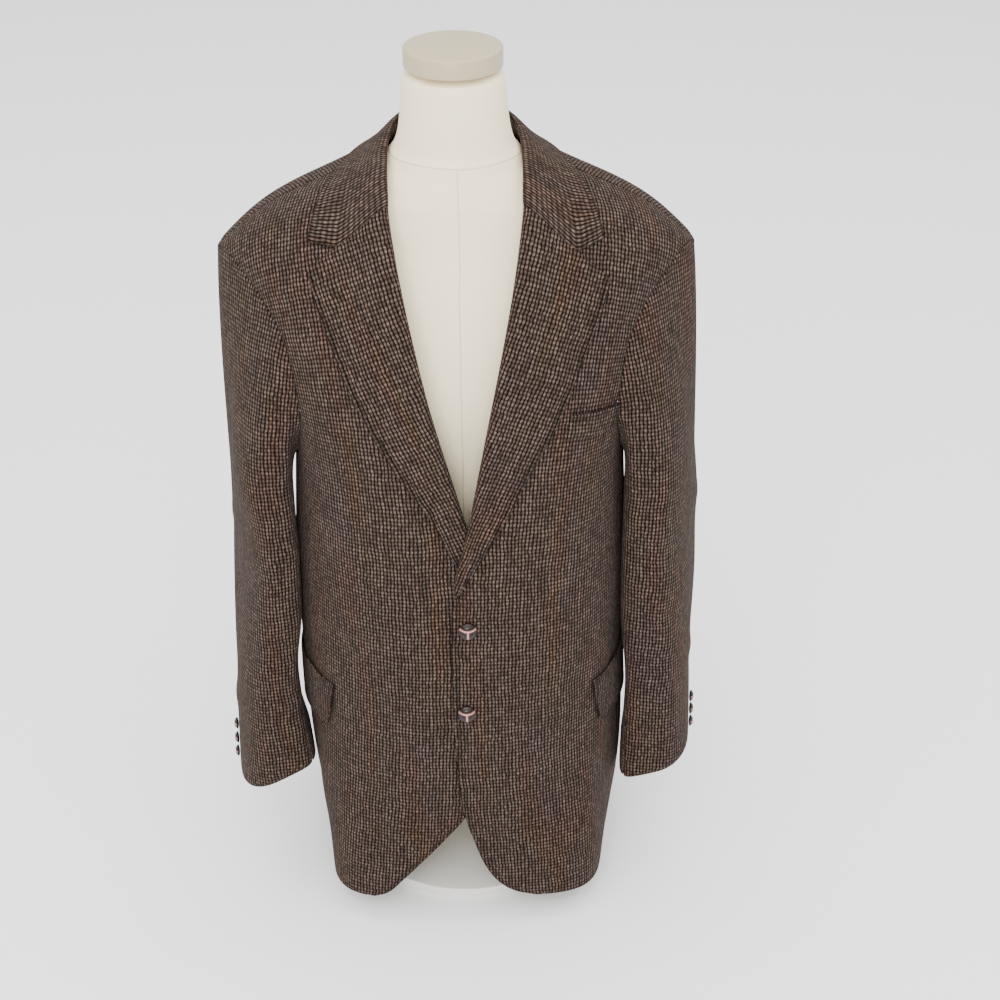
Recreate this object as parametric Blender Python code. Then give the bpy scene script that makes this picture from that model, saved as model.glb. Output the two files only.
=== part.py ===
"""Tweed jacket on a dress form.

A single-breasted, two-button jacket with notch lapels, flap pockets, a breast welt, two-piece sleeves and a
centre-back seam.  It hangs on a limbless dress form with a neck cap, a pole and a round base.  Metres, +Z up: the
jacket faces -Y and its wearer's left is +X.  The origin is the middle of the base's underside.

Every cloth piece is a closed wall.  The body's cloth is one surface: girth is the distance round the chest from
the centre front, climb is the distance up from the hem, and each panel is a stretch of that surface.  What lies
on a panel is made from the panel's own points, moved outwards.  The first row of each table names its columns.
"""

import math

import bmesh
import bpy
import numpy as np

# Driving sizes, in metres.
HEM_HEIGHT = 0.040
CLOTH = 0.0024
SEAM_GAP = 0.0004
ARMHOLE_GAP = 0.0008
LAYER_GAP = 0.0014
BUTTON_RADIUS = 0.0098
CUFF_BUTTON_RADIUS = 0.0070

TWEED_BROWN = (0.075, 0.055, 0.045)
OXBLOOD = (0.045, 0.012, 0.008)
FORM_CREAM = (0.80, 0.76, 0.66)
CAP_CREAM = (0.80, 0.77, 0.68)
STAND_WHITE = (0.85, 0.84, 0.80)

# The body's level sections, by height above the hem, from the hem to the underarm.
BODY_SECTIONS = (
    ("height", "half_width", "front_depth", "back_depth", "squareness"),
    (0.00, 0.163, 0.179, 0.172, 5.5),
    (0.06, 0.171, 0.179, 0.166, 4.0),
    (0.13, 0.179, 0.179, 0.160, 3.0),
    (0.28, 0.180, 0.179, 0.152, 2.6),
    (0.42, 0.179, 0.176, 0.146, 2.6),
    (0.54, 0.175, 0.172, 0.146, 2.7),
)
UNDERARM = 0.54
CROWN = 0.84
SHOULDER_FLARE = 0.47
FRONT_ARCH = 2.3
BACK_ARCH = 2.8

# The ridge of the shoulders: distance from the middle, height above the hem, and how far back it lies.
SHOULDER_TIP = 0.243
SHOULDER_RIDGE = (
    ("across", "height", "back"),
    (0.000, 0.856, 0.014),
    (0.065, 0.845, 0.013),
    (0.090, 0.834, 0.012),
    (0.120, 0.819, 0.010),
    (0.160, 0.803, 0.006),
    (0.200, 0.782, 0.002),
    (0.225, 0.762, 0.000),
    (SHOULDER_TIP, 0.745, 0.000),
)


def smooth(table, at, name):
    """A table's named column, read at a value of its first column, on a smooth curve that never overshoots."""
    place = table[0].index(name)
    x = np.array([row[0] for row in table[1:]])
    y = np.array([row[place] for row in table[1:]])
    if x[0] > x[-1]:
        x, y = x[::-1], y[::-1]
    at = min(max(at, x[0]), x[-1])
    secant = np.diff(y) / np.diff(x)
    slope = np.concatenate([[secant[0]], (secant[1:] + secant[:-1]) / 2, [secant[-1]]])
    flat = np.concatenate([[False], secant[1:] * secant[:-1] <= 0, [False]])
    slope[flat] = 0.0
    i = min(int(np.searchsorted(x, at, side="right")) - 1, len(x) - 2)
    span = x[i + 1] - x[i]
    t = (at - x[i]) / span
    return float(
        (1 + 2 * t) * (1 - t) ** 2 * y[i]
        + t * (1 - t) ** 2 * span * slope[i]
        + t * t * (3 - 2 * t) * y[i + 1]
        + t * t * (t - 1) * span * slope[i + 1]
    )


def ease(t):
    """0 below 0, 1 above 1, and a smooth step between."""
    t = min(max(t, 0.0), 1.0)
    return t * t * (3 - 2 * t)


def mix(a, b, t):
    return a + (b - a) * t


# ---------------------------------------------------------------- the body's cloth

RING_STEPS = 200
rings = {}


def ring(height):
    """Half a level section, from centre front to centre back: distance run, half widths and depths."""
    key = round(min(max(height, 0.0), UNDERARM), 5)
    if key not in rings:
        half_width, front, back, square = (smooth(BODY_SECTIONS, key, name) for name in BODY_SECTIONS[0][1:])
        turn = np.linspace(0, math.pi, 2 * RING_STEPS + 1)
        across = half_width * np.sin(turn) ** (2 / square)
        across[-1] = 0.0
        depth = np.abs(np.cos(turn)) ** (2 / square)
        along = np.where(turn <= math.pi / 2, -front * depth, back * depth)
        run = np.concatenate([[0], np.cumsum(np.hypot(np.diff(across), np.diff(along)))])
        rings[key] = (run, across, along)
    return rings[key]


HALF_GIRTH = ring(UNDERARM)[0][-1]


def ring_point(girth, height):
    run, across, along = ring(height)
    at = min(abs(girth) / HALF_GIRTH, 1.0) * run[-1]
    side = -1.0 if girth < 0 else 1.0
    return side * np.interp(at, run, across), np.interp(at, run, along)


def girth_at(across, height, back=False):
    """The girth of the point of a level section that lies at a distance from the middle."""
    run, half, _ = ring(height)
    middle = int(np.argmax(half))
    reach = min(abs(across), half[middle])
    if back:
        at = np.interp(reach, half[middle:][::-1], run[middle:][::-1])
    else:
        at = np.interp(reach, half[: middle + 1], run[: middle + 1])
    return math.copysign(at / run[-1] * HALF_GIRTH, across)


def plain_cloth(girth, climb):
    """A point of the body's cloth before its folds."""
    if climb <= UNDERARM:
        x, y = ring_point(girth, climb)
        return np.array([x, y, climb])
    t = min((climb - UNDERARM) / (CROWN - UNDERARM), 1.0)
    x, y = ring_point(girth, UNDERARM)
    x *= 1 + SHOULDER_FLARE * t
    top = smooth(SHOULDER_RIDGE, abs(x), "height")
    back = smooth(SHOULDER_RIDGE, abs(x), "back")
    arch = BACK_ARCH if y > 0 else FRONT_ARCH
    rise = math.sin(t * math.pi / 2) ** (2 / arch)
    inward = max(math.cos(t * math.pi / 2), 0.0) ** (2 / arch)
    return np.array([x, mix(back, y, inward), mix(UNDERARM, top, rise)])


def spot(across, height, back=False):
    """The girth and climb of a point of the cloth given by its distance from the middle and its height."""
    if height <= UNDERARM:
        return girth_at(across, height, back), height
    top = smooth(SHOULDER_RIDGE, abs(across), "height")
    rise = min((height - UNDERARM) / (top - UNDERARM), 1.0)
    arch = BACK_ARCH if back else FRONT_ARCH
    t = math.asin(rise ** (arch / 2)) / (math.pi / 2)
    return girth_at(across / (1 + SHOULDER_FLARE * t), UNDERARM, back), UNDERARM + t * (CROWN - UNDERARM)


# The body's largest folds: soft ridges and troughs that run down the cloth.
BODY_FOLDS = (
    ("girth", "climb", "half_length", "half_width", "depth", "lean"),
    (0.135, 0.12, 0.16, 0.022, 0.0040, 0.05),
    (0.175, 0.12, 0.18, 0.024, -0.0040, 0.03),
    (0.240, 0.11, 0.18, 0.034, 0.0050, 0.00),
    (-0.130, 0.14, 0.18, 0.024, 0.0045, -0.06),
    (-0.200, 0.05, 0.14, 0.030, -0.0060, -0.03),
    (-0.225, 0.35, 0.25, 0.036, 0.0054, 0.00),
    (0.235, 0.40, 0.20, 0.036, 0.0020, 0.00),
    (0.345, 0.12, 0.16, 0.026, 0.0050, -0.03),
    (-0.340, 0.14, 0.16, 0.026, 0.0050, 0.03),
    (0.400, 0.16, 0.20, 0.026, 0.0045, -0.04),
    (-0.395, 0.18, 0.20, 0.026, 0.0045, 0.04),
    (0.100, 0.66, 0.07, 0.018, -0.0030, -0.20),
    (-0.100, 0.66, 0.07, 0.018, -0.0030, 0.20),
)


def fold_height(girth, climb):
    total = 0.0
    for place, middle, half_length, half_width, depth, lean in BODY_FOLDS[1:]:
        along = (climb - middle) / half_length
        if abs(along) < 1:
            aside = (girth - place - lean * (climb - middle)) / half_width
            total += depth * math.exp(-aside * aside) * (1 - along * along) ** 2
    return total


STEP = 0.004  # the short way over which a slope of the cloth is read
RIDGE_MARGIN = 0.002


def outward(girth, climb):
    """The cloth's outward direction."""
    if climb > CROWN - STEP / 4:
        across = plain_cloth(girth, CROWN)[0]
        right = smooth(SHOULDER_RIDGE, abs(across + STEP), "height")
        left = smooth(SHOULDER_RIDGE, abs(across - STEP), "height")
        normal = np.array([left - right, 0.0, 2 * STEP])
        return normal / np.linalg.norm(normal)
    low, high = max(climb - STEP, 0.0), min(climb + STEP, CROWN - RIDGE_MARGIN)
    low = min(low, high - STEP)
    round_it = plain_cloth(girth + STEP, min(climb, high)) - plain_cloth(girth - STEP, min(climb, high))
    if abs(girth) + STEP > HALF_GIRTH:
        round_it = np.array([-1.0, 0.0, 0.0])
    up_it = plain_cloth(girth, high) - plain_cloth(girth, low)
    normal = np.cross(round_it, up_it)
    return normal / np.linalg.norm(normal)


def body_cloth(girth, climb, lift=0.0):
    """A point of the body's cloth, moved outwards by lift."""
    push = lift + fold_height(girth, climb)
    return plain_cloth(girth, climb) + outward(girth, climb) * push


def front_cloth(side, across, height, lift=0.0):
    """A point on the front, by its distance from the middle towards one side, its height and its lift."""
    girth, climb = spot(side * across, height)
    return body_cloth(girth, climb, lift)


# ---------------------------------------------------------------- making solids


def clean_scene():
    for thing in list(bpy.data.objects):
        bpy.data.objects.remove(thing, do_unlink=True)


def material(name, colour, roughness, metallic=0.0):
    made = bpy.data.materials.get(name)
    if made is None:
        made = bpy.data.materials.new(name)
        made.use_nodes = True
        shader = made.node_tree.nodes["Principled BSDF"]
        shader.inputs["Base Color"].default_value = (*colour, 1.0)
        shader.inputs["Roughness"].default_value = roughness
        shader.inputs["Metallic"].default_value = metallic
    return made


def tweed():
    return material("tweed", TWEED_BROWN, 0.95)


def solid(name, points, faces, surface, crease=35):
    """A mesh object made from points above the hem line, standing at the jacket's height."""
    mesh = bpy.data.meshes.new(name)
    build = bmesh.new()
    corners = [build.verts.new(p) for p in points]
    for face in faces:
        build.faces.new([corners[i] for i in face])
    bmesh.ops.recalc_face_normals(build, faces=build.faces)
    bmesh.ops.triangulate(build, faces=build.faces)
    build.to_mesh(mesh)
    build.free()
    mesh.shade_smooth()
    mesh.set_sharp_from_angle(angle=math.radians(crease))
    mesh.materials.append(surface)
    made = bpy.data.objects.new(name, mesh)
    made.location = (0.0, 0.0, HEM_HEIGHT)
    bpy.context.scene.collection.objects.link(made)
    return made


def wall(name, outer, inner, surface):
    """A closed wall between two grids of points of the same shape."""
    outer, inner = np.array(outer), np.array(inner)
    rows, columns = outer.shape[:2]
    points = np.concatenate([outer.reshape(-1, 3), inner.reshape(-1, 3)])
    back = rows * columns

    def at(row, column, layer=0):
        return layer * back + row * columns + column

    faces = []
    for r in range(rows - 1):
        for c in range(columns - 1):
            quad = [(r, c), (r, c + 1), (r + 1, c + 1), (r + 1, c)]
            faces.append([at(*q) for q in quad])
            faces.append([at(*q, 1) for q in reversed(quad)])
    rim = [(0, c) for c in range(columns)]
    rim += [(r, columns - 1) for r in range(1, rows)]
    rim += [(rows - 1, c) for c in range(columns - 2, -1, -1)]
    rim += [(r, 0) for r in range(rows - 2, 0, -1)]
    for one, two in zip(rim, rim[1:] + rim[:1]):
        faces.append([at(*two), at(*one), at(*one, 1), at(*two, 1)])
    return solid(name, points, faces, surface)


def loft(name, loops, surface, crease=35):
    """A solid through closed loops of equal counts, flat at both ends."""
    count = len(loops[0])
    points = [p for loop in loops for p in loop]
    faces = []
    for k in range(len(loops) - 1):
        for i in range(count):
            j = (i + 1) % count
            faces.append([k * count + i, k * count + j, (k + 1) * count + j, (k + 1) * count + i])
    faces.append(list(range(count))[::-1])
    faces.append([(len(loops) - 1) * count + i for i in range(count)])
    return solid(name, points, faces, surface, crease)


# ---------------------------------------------------------------- body panels

# Edges of the fronts on their own side of the middle: minus is past it.  The over front is the wearer's left.
OVER_FRONT_EDGE = (
    ("height", "across"),
    (0.000, 0.082),
    (0.006, 0.058),
    (0.018, 0.040),
    (0.050, 0.020),
    (0.089, 0.008),
    (0.124, -0.002),
    (0.200, -0.009),
    (0.300, -0.012),
    (0.418, -0.010),
    (0.450, -0.003),
    (0.499, 0.009),
    (0.560, 0.020),
    (0.625, 0.032),
    (0.690, 0.045),
    (0.750, 0.057),
    (0.800, 0.066),
    (0.825, 0.070),
)
UNDER_FRONT_EDGE = (
    ("height", "across"),
    (0.000, 0.108),
    (0.006, 0.092),
    (0.019, 0.080),
    (0.058, 0.048),
    (0.096, 0.016),
    (0.124, -0.004),
    (0.160, -0.014),
    (0.220, -0.018),
    (0.418, -0.017),
    (0.450, -0.014),
    (0.489, -0.007),
    (0.537, 0.005),
    (0.587, 0.018),
    (0.644, 0.032),
    (0.704, 0.045),
    (0.750, 0.055),
    (0.800, 0.065),
    (0.825, 0.069),
)
NECK_POINT = 0.076
ON_RIDGE = 1.0  # higher than all the cloth, so a spot at this height lies on the shoulder's ridge

# The armhole seam, from the underarm to the shoulder's tip: height and distance from the middle.
FRONT_ARMHOLE = (
    ("height", "across"),
    (0.600, 0.1590),
    (0.642, 0.1640),
    (0.672, 0.1660),
    (0.700, 0.1770),
    (0.718, 0.1910),
    (0.730, 0.2020),
    (0.741, 0.2160),
)
BACK_ARMHOLE = (
    ("height", "across"),
    (0.600, 0.1580),
    (0.640, 0.1640),
    (0.680, 0.1760),
    (0.705, 0.1900),
    (0.725, 0.2060),
    (0.740, 0.2220),
)
FRONT_SEAM = 0.215
BACK_SEAM = 0.345

LOWER_CLIMBS = (0.0, 0.006, 0.018, 0.037, 0.058, 0.089, 0.124, 0.170, 0.230, 0.290, 0.350, 0.418, 0.470, 0.540)
UPPER_SHARES = (0.10, 0.21, 0.33, 0.45, 0.57, 0.69, 0.80, 0.91, 1.0)


def climbs():
    return list(LOWER_CLIMBS) + [mix(UNDERARM, CROWN, t) for t in UPPER_SHARES]


def edge_girths(table, back=False):
    """A seam's table of heights and distances from the middle, as a table of climbs and girths."""
    out = [("climb", "girth")]
    for height, across in table[1:]:
        girth, climb = spot(across, height, back)
        out.append((climb, girth))
    return out


def front_inner(side, climb):
    edge = edge_girths(OVER_FRONT_EDGE if side > 0 else UNDER_FRONT_EDGE)
    neck, _ = spot(NECK_POINT, ON_RIDGE)
    edge.append((CROWN, neck))
    return smooth(edge, climb, "girth")


def front_outer(climb):
    if climb <= UNDERARM:
        return FRONT_SEAM
    tip, _ = spot(SHOULDER_TIP, ON_RIDGE)
    seam = edge_girths(FRONT_ARMHOLE)
    seam.insert(1, (UNDERARM, FRONT_SEAM))
    seam.append((CROWN, tip))
    return smooth(seam, climb, "girth")


def back_outer(climb):
    if climb <= UNDERARM:
        return BACK_SEAM
    tip, _ = spot(SHOULDER_TIP, ON_RIDGE, back=True)
    seam = edge_girths(BACK_ARMHOLE, back=True)
    seam.insert(1, (UNDERARM, BACK_SEAM))
    seam.append((CROWN, tip))
    return smooth(seam, climb, "girth")


BACK_NECK = 0.81  # how far up the yoke the neckline starts at the centre back


def back_inner(climb):
    """The centre-back seam, then the neckline that turns out to the neck point."""
    neck, _ = spot(NECK_POINT, ON_RIDGE, back=True)
    start = mix(UNDERARM, CROWN, BACK_NECK)
    if climb <= start:
        return HALF_GIRTH
    share = (climb - start) / (CROWN - start)
    return mix(HALF_GIRTH, neck, math.sqrt(share) if share < 1 else 1.0)


# The under front sinks beneath the over front: from this girth on, over a short width, and twice as deep from
# the upper button up, until it comes level again part way up the lapel.
TUCK_GIRTH = -0.045
TUCK_WIDTH = 0.035
TUCK_DEEPENS = 0.38
TUCK_DEEP = 0.43
TUCK_EASES = 0.55
TUCK_LEVEL = 0.65


def tuck(side, girth, climb):
    """How far the under front sinks beneath the over front."""
    if side > 0:
        return 0.0
    depth = (CLOTH + LAYER_GAP) * (1 + ease((climb - TUCK_DEEPENS) / (TUCK_DEEP - TUCK_DEEPENS)))
    level = ease((climb - TUCK_EASES) / (TUCK_LEVEL - TUCK_EASES))
    return -depth * ease((girth - TUCK_GIRTH) / TUCK_WIDTH) * (1 - level)


FRONT_COLUMNS = 10
SIDE_COLUMNS = 5
BACK_COLUMNS = 7


def panel(name, inner, outer, rows, columns, side, seam_shift=0.0, sink=None):
    """A wall of the body's cloth between two seams, given as girths at each climb."""
    face, lining = [], []
    for climb in rows:
        start, end = inner(climb) + SEAM_GAP, outer(climb) - SEAM_GAP
        line = [side * mix(start, end, k / columns) for k in range(columns + 1)]
        lift = [sink(girth, climb) if sink else 0.0 for girth in line]
        part = np.array([0.0, seam_shift if climb >= CROWN else 0.0, 0.0])
        face.append([body_cloth(g, climb, up) + part for g, up in zip(line, lift)])
        lining.append([body_cloth(g, climb, up - CLOTH) + part for g, up in zip(line, lift)])
    return wall(name, face, lining, tweed())


def make_body():
    for side, word, layer in ((1, "left", "over"), (-1, "right", "under")):
        rows = climbs()
        panel(
            f"front_{word}_{layer}",
            lambda c: front_inner(side, c),
            front_outer,
            rows,
            FRONT_COLUMNS,
            side,
            -SEAM_GAP / 2,
            lambda g, c: tuck(side, g, c),
        )
        low = [c for c in rows if c <= UNDERARM]
        panel(f"side_body_{word}", lambda c: FRONT_SEAM, lambda c: BACK_SEAM, low, SIDE_COLUMNS, side)
        panel(f"back_{word}", back_outer, back_inner, rows, BACK_COLUMNS, side, SEAM_GAP / 2)


# ---------------------------------------------------------------- lapels and collar

# Each lapel, from the break point up to the gorge: where the fold and the outer edge are at each share.
OVER_LAPEL = (
    ("share", "fold_height", "edge_height", "edge_across"),
    (0.00, 0.436, 0.424, -0.006),
    (0.10, 0.470, 0.450, 0.010),
    (0.22, 0.510, 0.478, 0.025),
    (0.36, 0.560, 0.520, 0.047),
    (0.50, 0.612, 0.567, 0.069),
    (0.64, 0.662, 0.610, 0.092),
    (0.78, 0.715, 0.662, 0.115),
    (0.90, 0.765, 0.705, 0.133),
    (0.96, 0.793, 0.732, 0.144),
    (1.00, 0.812, 0.749, 0.1475),
)
UNDER_LAPEL = (
    ("share", "fold_height", "edge_height", "edge_across"),
    (0.00, 0.436, 0.424, -0.012),
    (0.10, 0.470, 0.450, 0.001),
    (0.22, 0.510, 0.478, 0.014),
    (0.36, 0.560, 0.520, 0.031),
    (0.50, 0.612, 0.567, 0.060),
    (0.64, 0.662, 0.612, 0.085),
    (0.78, 0.715, 0.663, 0.109),
    (0.90, 0.765, 0.708, 0.128),
    (0.96, 0.793, 0.740, 0.138),
    (1.00, 0.812, 0.759, 0.143),
)
LAPEL_ROWS = 14
LAPEL_SHARES = (0.0, 0.10, 0.24, 0.42, 0.60, 0.80, 1.0)
FOLD_LAP = 0.0034  # how far the fold wraps past the front's own edge
FOLD_RISE = 0.0040  # how far the fold stands off the front
FOLD_CREST = 0.10  # the share of the lapel's width at which it stands highest
FOLD_BREADTH = 0.26
LIP_SINK = 0.0016  # how far the fold's lip turns past the front's face
LIP_HEIGHT = 0.0008
LIP_ROLL = 0.0010
LIP_INSIDE = 0.0003
OVER_ROLL = 0.10  # the share up the over lapel by which its fold has rolled open
UNDER_ROLL = 0.475  # the height at which the under lapel's fold starts to roll open
UNDER_ROLL_SPAN = 0.06
GORGE = 0.61  # how far along the lapel's top the collar is sewn to it


def fold_across(side, height):
    return smooth(OVER_FRONT_EDGE if side > 0 else UNDER_FRONT_EDGE, height, "across")


def lapel_spot(side, along, share):
    """Distance from the middle and height of a lapel's point: along goes up it, share goes out to its edge."""
    lapel = OVER_LAPEL if side > 0 else UNDER_LAPEL
    fold_height, edge_height, edge_across = (smooth(lapel, along, name) for name in lapel[0][1:])
    return mix(fold_across(side, fold_height), edge_across, share), mix(fold_height, edge_height, share)


def fold_swell(share):
    """How far a fold's cloth stands up, by the share of the way from the fold to the edge."""
    return FOLD_RISE * math.exp(-(((share - FOLD_CREST) / FOLD_BREADTH) ** 2))


def lapel_point(side, across, height, lift):
    girth, climb = spot(side * across, height)
    return body_cloth(girth, climb, lift + tuck(side, girth, climb))


def roll(side, along):
    """How far a lapel's fold has rolled open, from 0 at the break point to 1."""
    if side > 0:
        return ease(along / OVER_ROLL)
    _, height = lapel_spot(side, along, 0.0)
    return ease((height - UNDER_ROLL) / UNDER_ROLL_SPAN)


def make_lapel(side, name):
    face, lining = [], []
    for row in range(LAPEL_ROWS + 1):
        along = row / LAPEL_ROWS
        rolled = roll(side, along)
        fold, height = lapel_spot(side, along, 0.0)
        lip = fold - FOLD_LAP
        face_row = [
            lapel_point(side, lip, height, -LIP_SINK),
            lapel_point(side, lip, height, LAYER_GAP + LIP_HEIGHT + LIP_ROLL * rolled),
        ]
        lining_row = [
            lapel_point(side, lip + CLOTH, height, -LIP_SINK),
            lapel_point(side, lip + CLOTH, height, LAYER_GAP - LIP_INSIDE),
        ]
        for share in LAPEL_SHARES:
            across, up = lapel_spot(side, along, share)
            rise = LAYER_GAP + fold_swell(share) * rolled
            face_row.append(lapel_point(side, across, up, rise + CLOTH))
            lining_row.append(lapel_point(side, across, up, rise))
        face.append(face_row)
        lining.append(lining_row)
    wall(name, face, lining, tweed())


# The collar, by its share of the way from the centre back to the gorge: the fold and the outer edge in plan,
# and how far the fold stands above the cloth beneath it.
COLLAR_SECTIONS = (
    ("share", "fold_x", "fold_y", "fold_rise", "edge_x", "edge_y"),
    (0.00, 0.000, 0.066, 0.0245, 0.000, 0.089),
    (0.20, 0.028, 0.061, 0.0225, 0.038, 0.085),
    (0.40, 0.051, 0.043, 0.0170, 0.077, 0.064),
    (0.58, 0.0625, 0.014, 0.0105, 0.106, 0.028),
    (0.74, 0.0665, -0.018, 0.0065, 0.124, -0.010),
    (0.88, 0.0680, -0.046, 0.0050, 0.137, -0.051),
    (1.00, 0.0680, -0.070, 0.0045, 0.1430, -0.078),
)
GORGE_RISE = 0.0045  # how far the fold stands up where it meets the lapel
RISE_FADE = 1.5
SHOULDER_SHARE = 0.58
COLLAR_HALF_ROWS = 11
COLLAR_SHARES = (0.0, 0.10, 0.26, 0.45, GORGE, 0.84, 1.0)
FRONT_BEND = 0.72  # the share from which the collar bends to follow the gorge
COLLAR_TURN = -0.06  # the share past the fold to which the collar turns in
COLLAR_LIP = 0.0012
COLLAR_LIP_CLOTH = 0.8 * CLOTH
STAND_REACH = 0.80  # how far towards the gorge the stand reaches
STAND_HALF_ROWS = 10
STAND_COLUMNS = 3
NECK_MIDDLE = 0.012  # how far back the middle of the neck lies
STAND_CREST_IN = 0.2 * CLOTH
STAND_FACE_IN = 0.25 * CLOTH
STAND_LINING_IN = 1.1 * CLOTH
HALVINGS = 30


def over_shoulder(x, y, lift=0.0):
    """A point on the plain cloth above a place in plan, moved outwards by lift."""

    def height(px, py):
        top, ridge = smooth(SHOULDER_RIDGE, abs(px), "height"), smooth(SHOULDER_RIDGE, abs(px), "back")
        behind = py > ridge
        arch = BACK_ARCH if behind else FRONT_ARCH
        low, high = 0.0, 1.0
        for _ in range(HALVINGS):
            t = (low + high) / 2
            girth = girth_at(px / (1 + SHOULDER_FLARE * t), UNDERARM, behind)
            inward = math.cos(t * math.pi / 2) ** (2 / arch)
            at = mix(ridge, ring_point(girth, UNDERARM)[1], inward)
            if abs(at - ridge) > abs(py - ridge):
                low = t
            else:
                high = t
        return mix(UNDERARM, top, math.sin(low * math.pi / 2) ** (2 / arch))

    z = height(x, y)
    slope_x = (height(x + STEP, y) - height(x - STEP, y)) / (2 * STEP)
    slope_y = (height(x, y + STEP) - height(x, y - STEP)) / (2 * STEP)
    normal = np.array([-slope_x, -slope_y, 1.0])
    return np.array([x, y, z]) + normal / np.linalg.norm(normal) * lift


def gorge_end(side, share):
    """The collar's front end in plan: along the gorge, then out to the collar's point."""
    gorge_across, gorge_height = lapel_spot(side, 1.0, min(share, GORGE))
    gorge_height += 2 * SEAM_GAP
    girth, climb = spot(gorge_across, gorge_height)
    x, y, _ = plain_cloth(girth, climb)
    if share > GORGE:
        point_x, point_y = (smooth(COLLAR_SECTIONS, 1.0, name) for name in ("edge_x", "edge_y"))
        out = (share - GORGE) / (1 - GORGE)
        x, y = mix(x, point_x, out), mix(y, point_y, out)
    return np.array([x, y])


def straight_plan(along, share):
    """The collar's point in plan before its front end is bent to the gorge."""
    fold = np.array([smooth(COLLAR_SECTIONS, along, name) for name in ("fold_x", "fold_y")])
    edge = np.array([smooth(COLLAR_SECTIONS, along, name) for name in ("edge_x", "edge_y")])
    return mix(fold, edge, share)


def collar_plan(side, along, share):
    pull = ease((along - FRONT_BEND) / (1 - FRONT_BEND))
    x, y = straight_plan(along, share) + pull * (gorge_end(side, share) - straight_plan(1.0, share))
    return side * x, y


def collar_point(side, along, share, lift):
    x, y = collar_plan(side, along, share)
    rise = smooth(COLLAR_SECTIONS, along, "fold_rise")
    swell = LAYER_GAP + fold_swell(share) + (rise - GORGE_RISE) * (1 - share) ** RISE_FADE
    return over_shoulder(x, y, swell + lift)


def make_collar():
    face, lining = [], []
    for row in range(-COLLAR_HALF_ROWS, COLLAR_HALF_ROWS + 1):
        side = 1 if row >= 0 else -1
        along = abs(row) / COLLAR_HALF_ROWS
        crest = collar_point(side, along, 0.0, CLOTH)
        inside = collar_point(side, along, COLLAR_TURN, CLOTH) - (0, 0, COLLAR_LIP)
        face_row = [inside, crest]
        lining_row = [inside - (0, 0, COLLAR_LIP_CLOTH), collar_point(side, along, 0.0, 0.0)]
        for share in COLLAR_SHARES[1:]:
            face_row.append(collar_point(side, along, share, CLOTH))
            lining_row.append(collar_point(side, along, share, 0.0))
        face.append(face_row)
        lining.append(lining_row)
    wall("collar_fall", face, lining, tweed())


def neckline(side, along):
    """The body's neckline, as girth and climb, from the centre back to the gorge."""
    if along < SHOULDER_SHARE:
        share = (along / SHOULDER_SHARE) ** 2
        climb = mix(mix(UNDERARM, CROWN, BACK_NECK), CROWN, share)
        return side * back_inner(climb), climb
    _, end = spot(*lapel_spot(side, 1.0, 0.0))
    climb = mix(CROWN, end, (along - SHOULDER_SHARE) / (1 - SHOULDER_SHARE))
    return side * front_inner(side, climb), climb


def make_collar_stand():
    face, lining = [], []
    for row in range(-STAND_HALF_ROWS, STAND_HALF_ROWS + 1):
        side = 1 if row >= 0 else -1
        along = abs(row) / STAND_HALF_ROWS * STAND_REACH
        foot = plain_cloth(*neckline(side, along))
        crest = collar_point(side, along, 0.0, 0.0)
        out = np.array([crest[0], crest[1] - NECK_MIDDLE, 0.0])
        out /= np.linalg.norm(out)
        crest = crest - (0, 0, 2 * SEAM_GAP) - out * STAND_CREST_IN
        foot = foot + (0, 0, 2 * SEAM_GAP)
        columns = [mix(foot, crest, k / STAND_COLUMNS) for k in range(STAND_COLUMNS + 1)]
        face.append([c - out * STAND_FACE_IN for c in columns])
        lining.append([c - out * STAND_LINING_IN for c in columns])
    wall("collar_stand", face, lining, tweed())


# ---------------------------------------------------------------- sleeves

# Level sections of the two sleeves as they hang: centre and half sizes, by height above the hem.
LEFT_SLEEVE = (
    ("height", "middle_x", "middle_y", "half_x", "half_y", "turned_in"),
    (0.505, 0.2180, -0.020, 0.0350, 0.098, 10.0),
    (0.450, 0.2215, -0.024, 0.0365, 0.094, 12.0),
    (0.400, 0.2230, -0.030, 0.0370, 0.088, 14.0),
    (0.340, 0.2225, -0.036, 0.0365, 0.081, 14.0),
    (0.260, 0.2245, -0.044, 0.0345, 0.072, 11.0),
    (0.180, 0.2235, -0.052, 0.0375, 0.064, 9.0),
    (0.130, 0.2225, -0.057, 0.0400, 0.060, 6.0),
)
RIGHT_SLEEVE = (
    ("height", "middle_x", "middle_y", "half_x", "half_y", "turned_in"),
    (0.505, 0.2170, -0.018, 0.0320, 0.098, 9.0),
    (0.450, 0.2190, -0.022, 0.0300, 0.096, 13.0),
    (0.400, 0.2205, -0.028, 0.0305, 0.090, 15.0),
    (0.340, 0.2220, -0.034, 0.0315, 0.082, 15.0),
    (0.260, 0.2275, -0.043, 0.0330, 0.073, 12.0),
    (0.180, 0.2265, -0.050, 0.0375, 0.065, 12.0),
    (0.120, 0.2225, -0.056, 0.0440, 0.060, 10.0),
)
OUTER_SQUARENESS = 2.4
INNER_SQUARENESS = 5.5
SLEEVE_TOP = 0.505
LEFT_CUFF_SLOPE = 0.35
RIGHT_CUFF_SLOPE = -0.45
CUFF_START = 0.4  # how the slope comes in down the sleeve
FOREARM_SEAM = 0.38
HINDARM_SEAM = 0.91
CAP_ROWS = 6
UNDERARM_STEPS = 5
ARM_ROWS = 10

# How far the sleeve's cloth carries on from the seam before it hangs, under the arm and at the crown.
SIDE_SET_OFF = 0.55
CROWN_SET_OFF = 0.08

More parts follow.
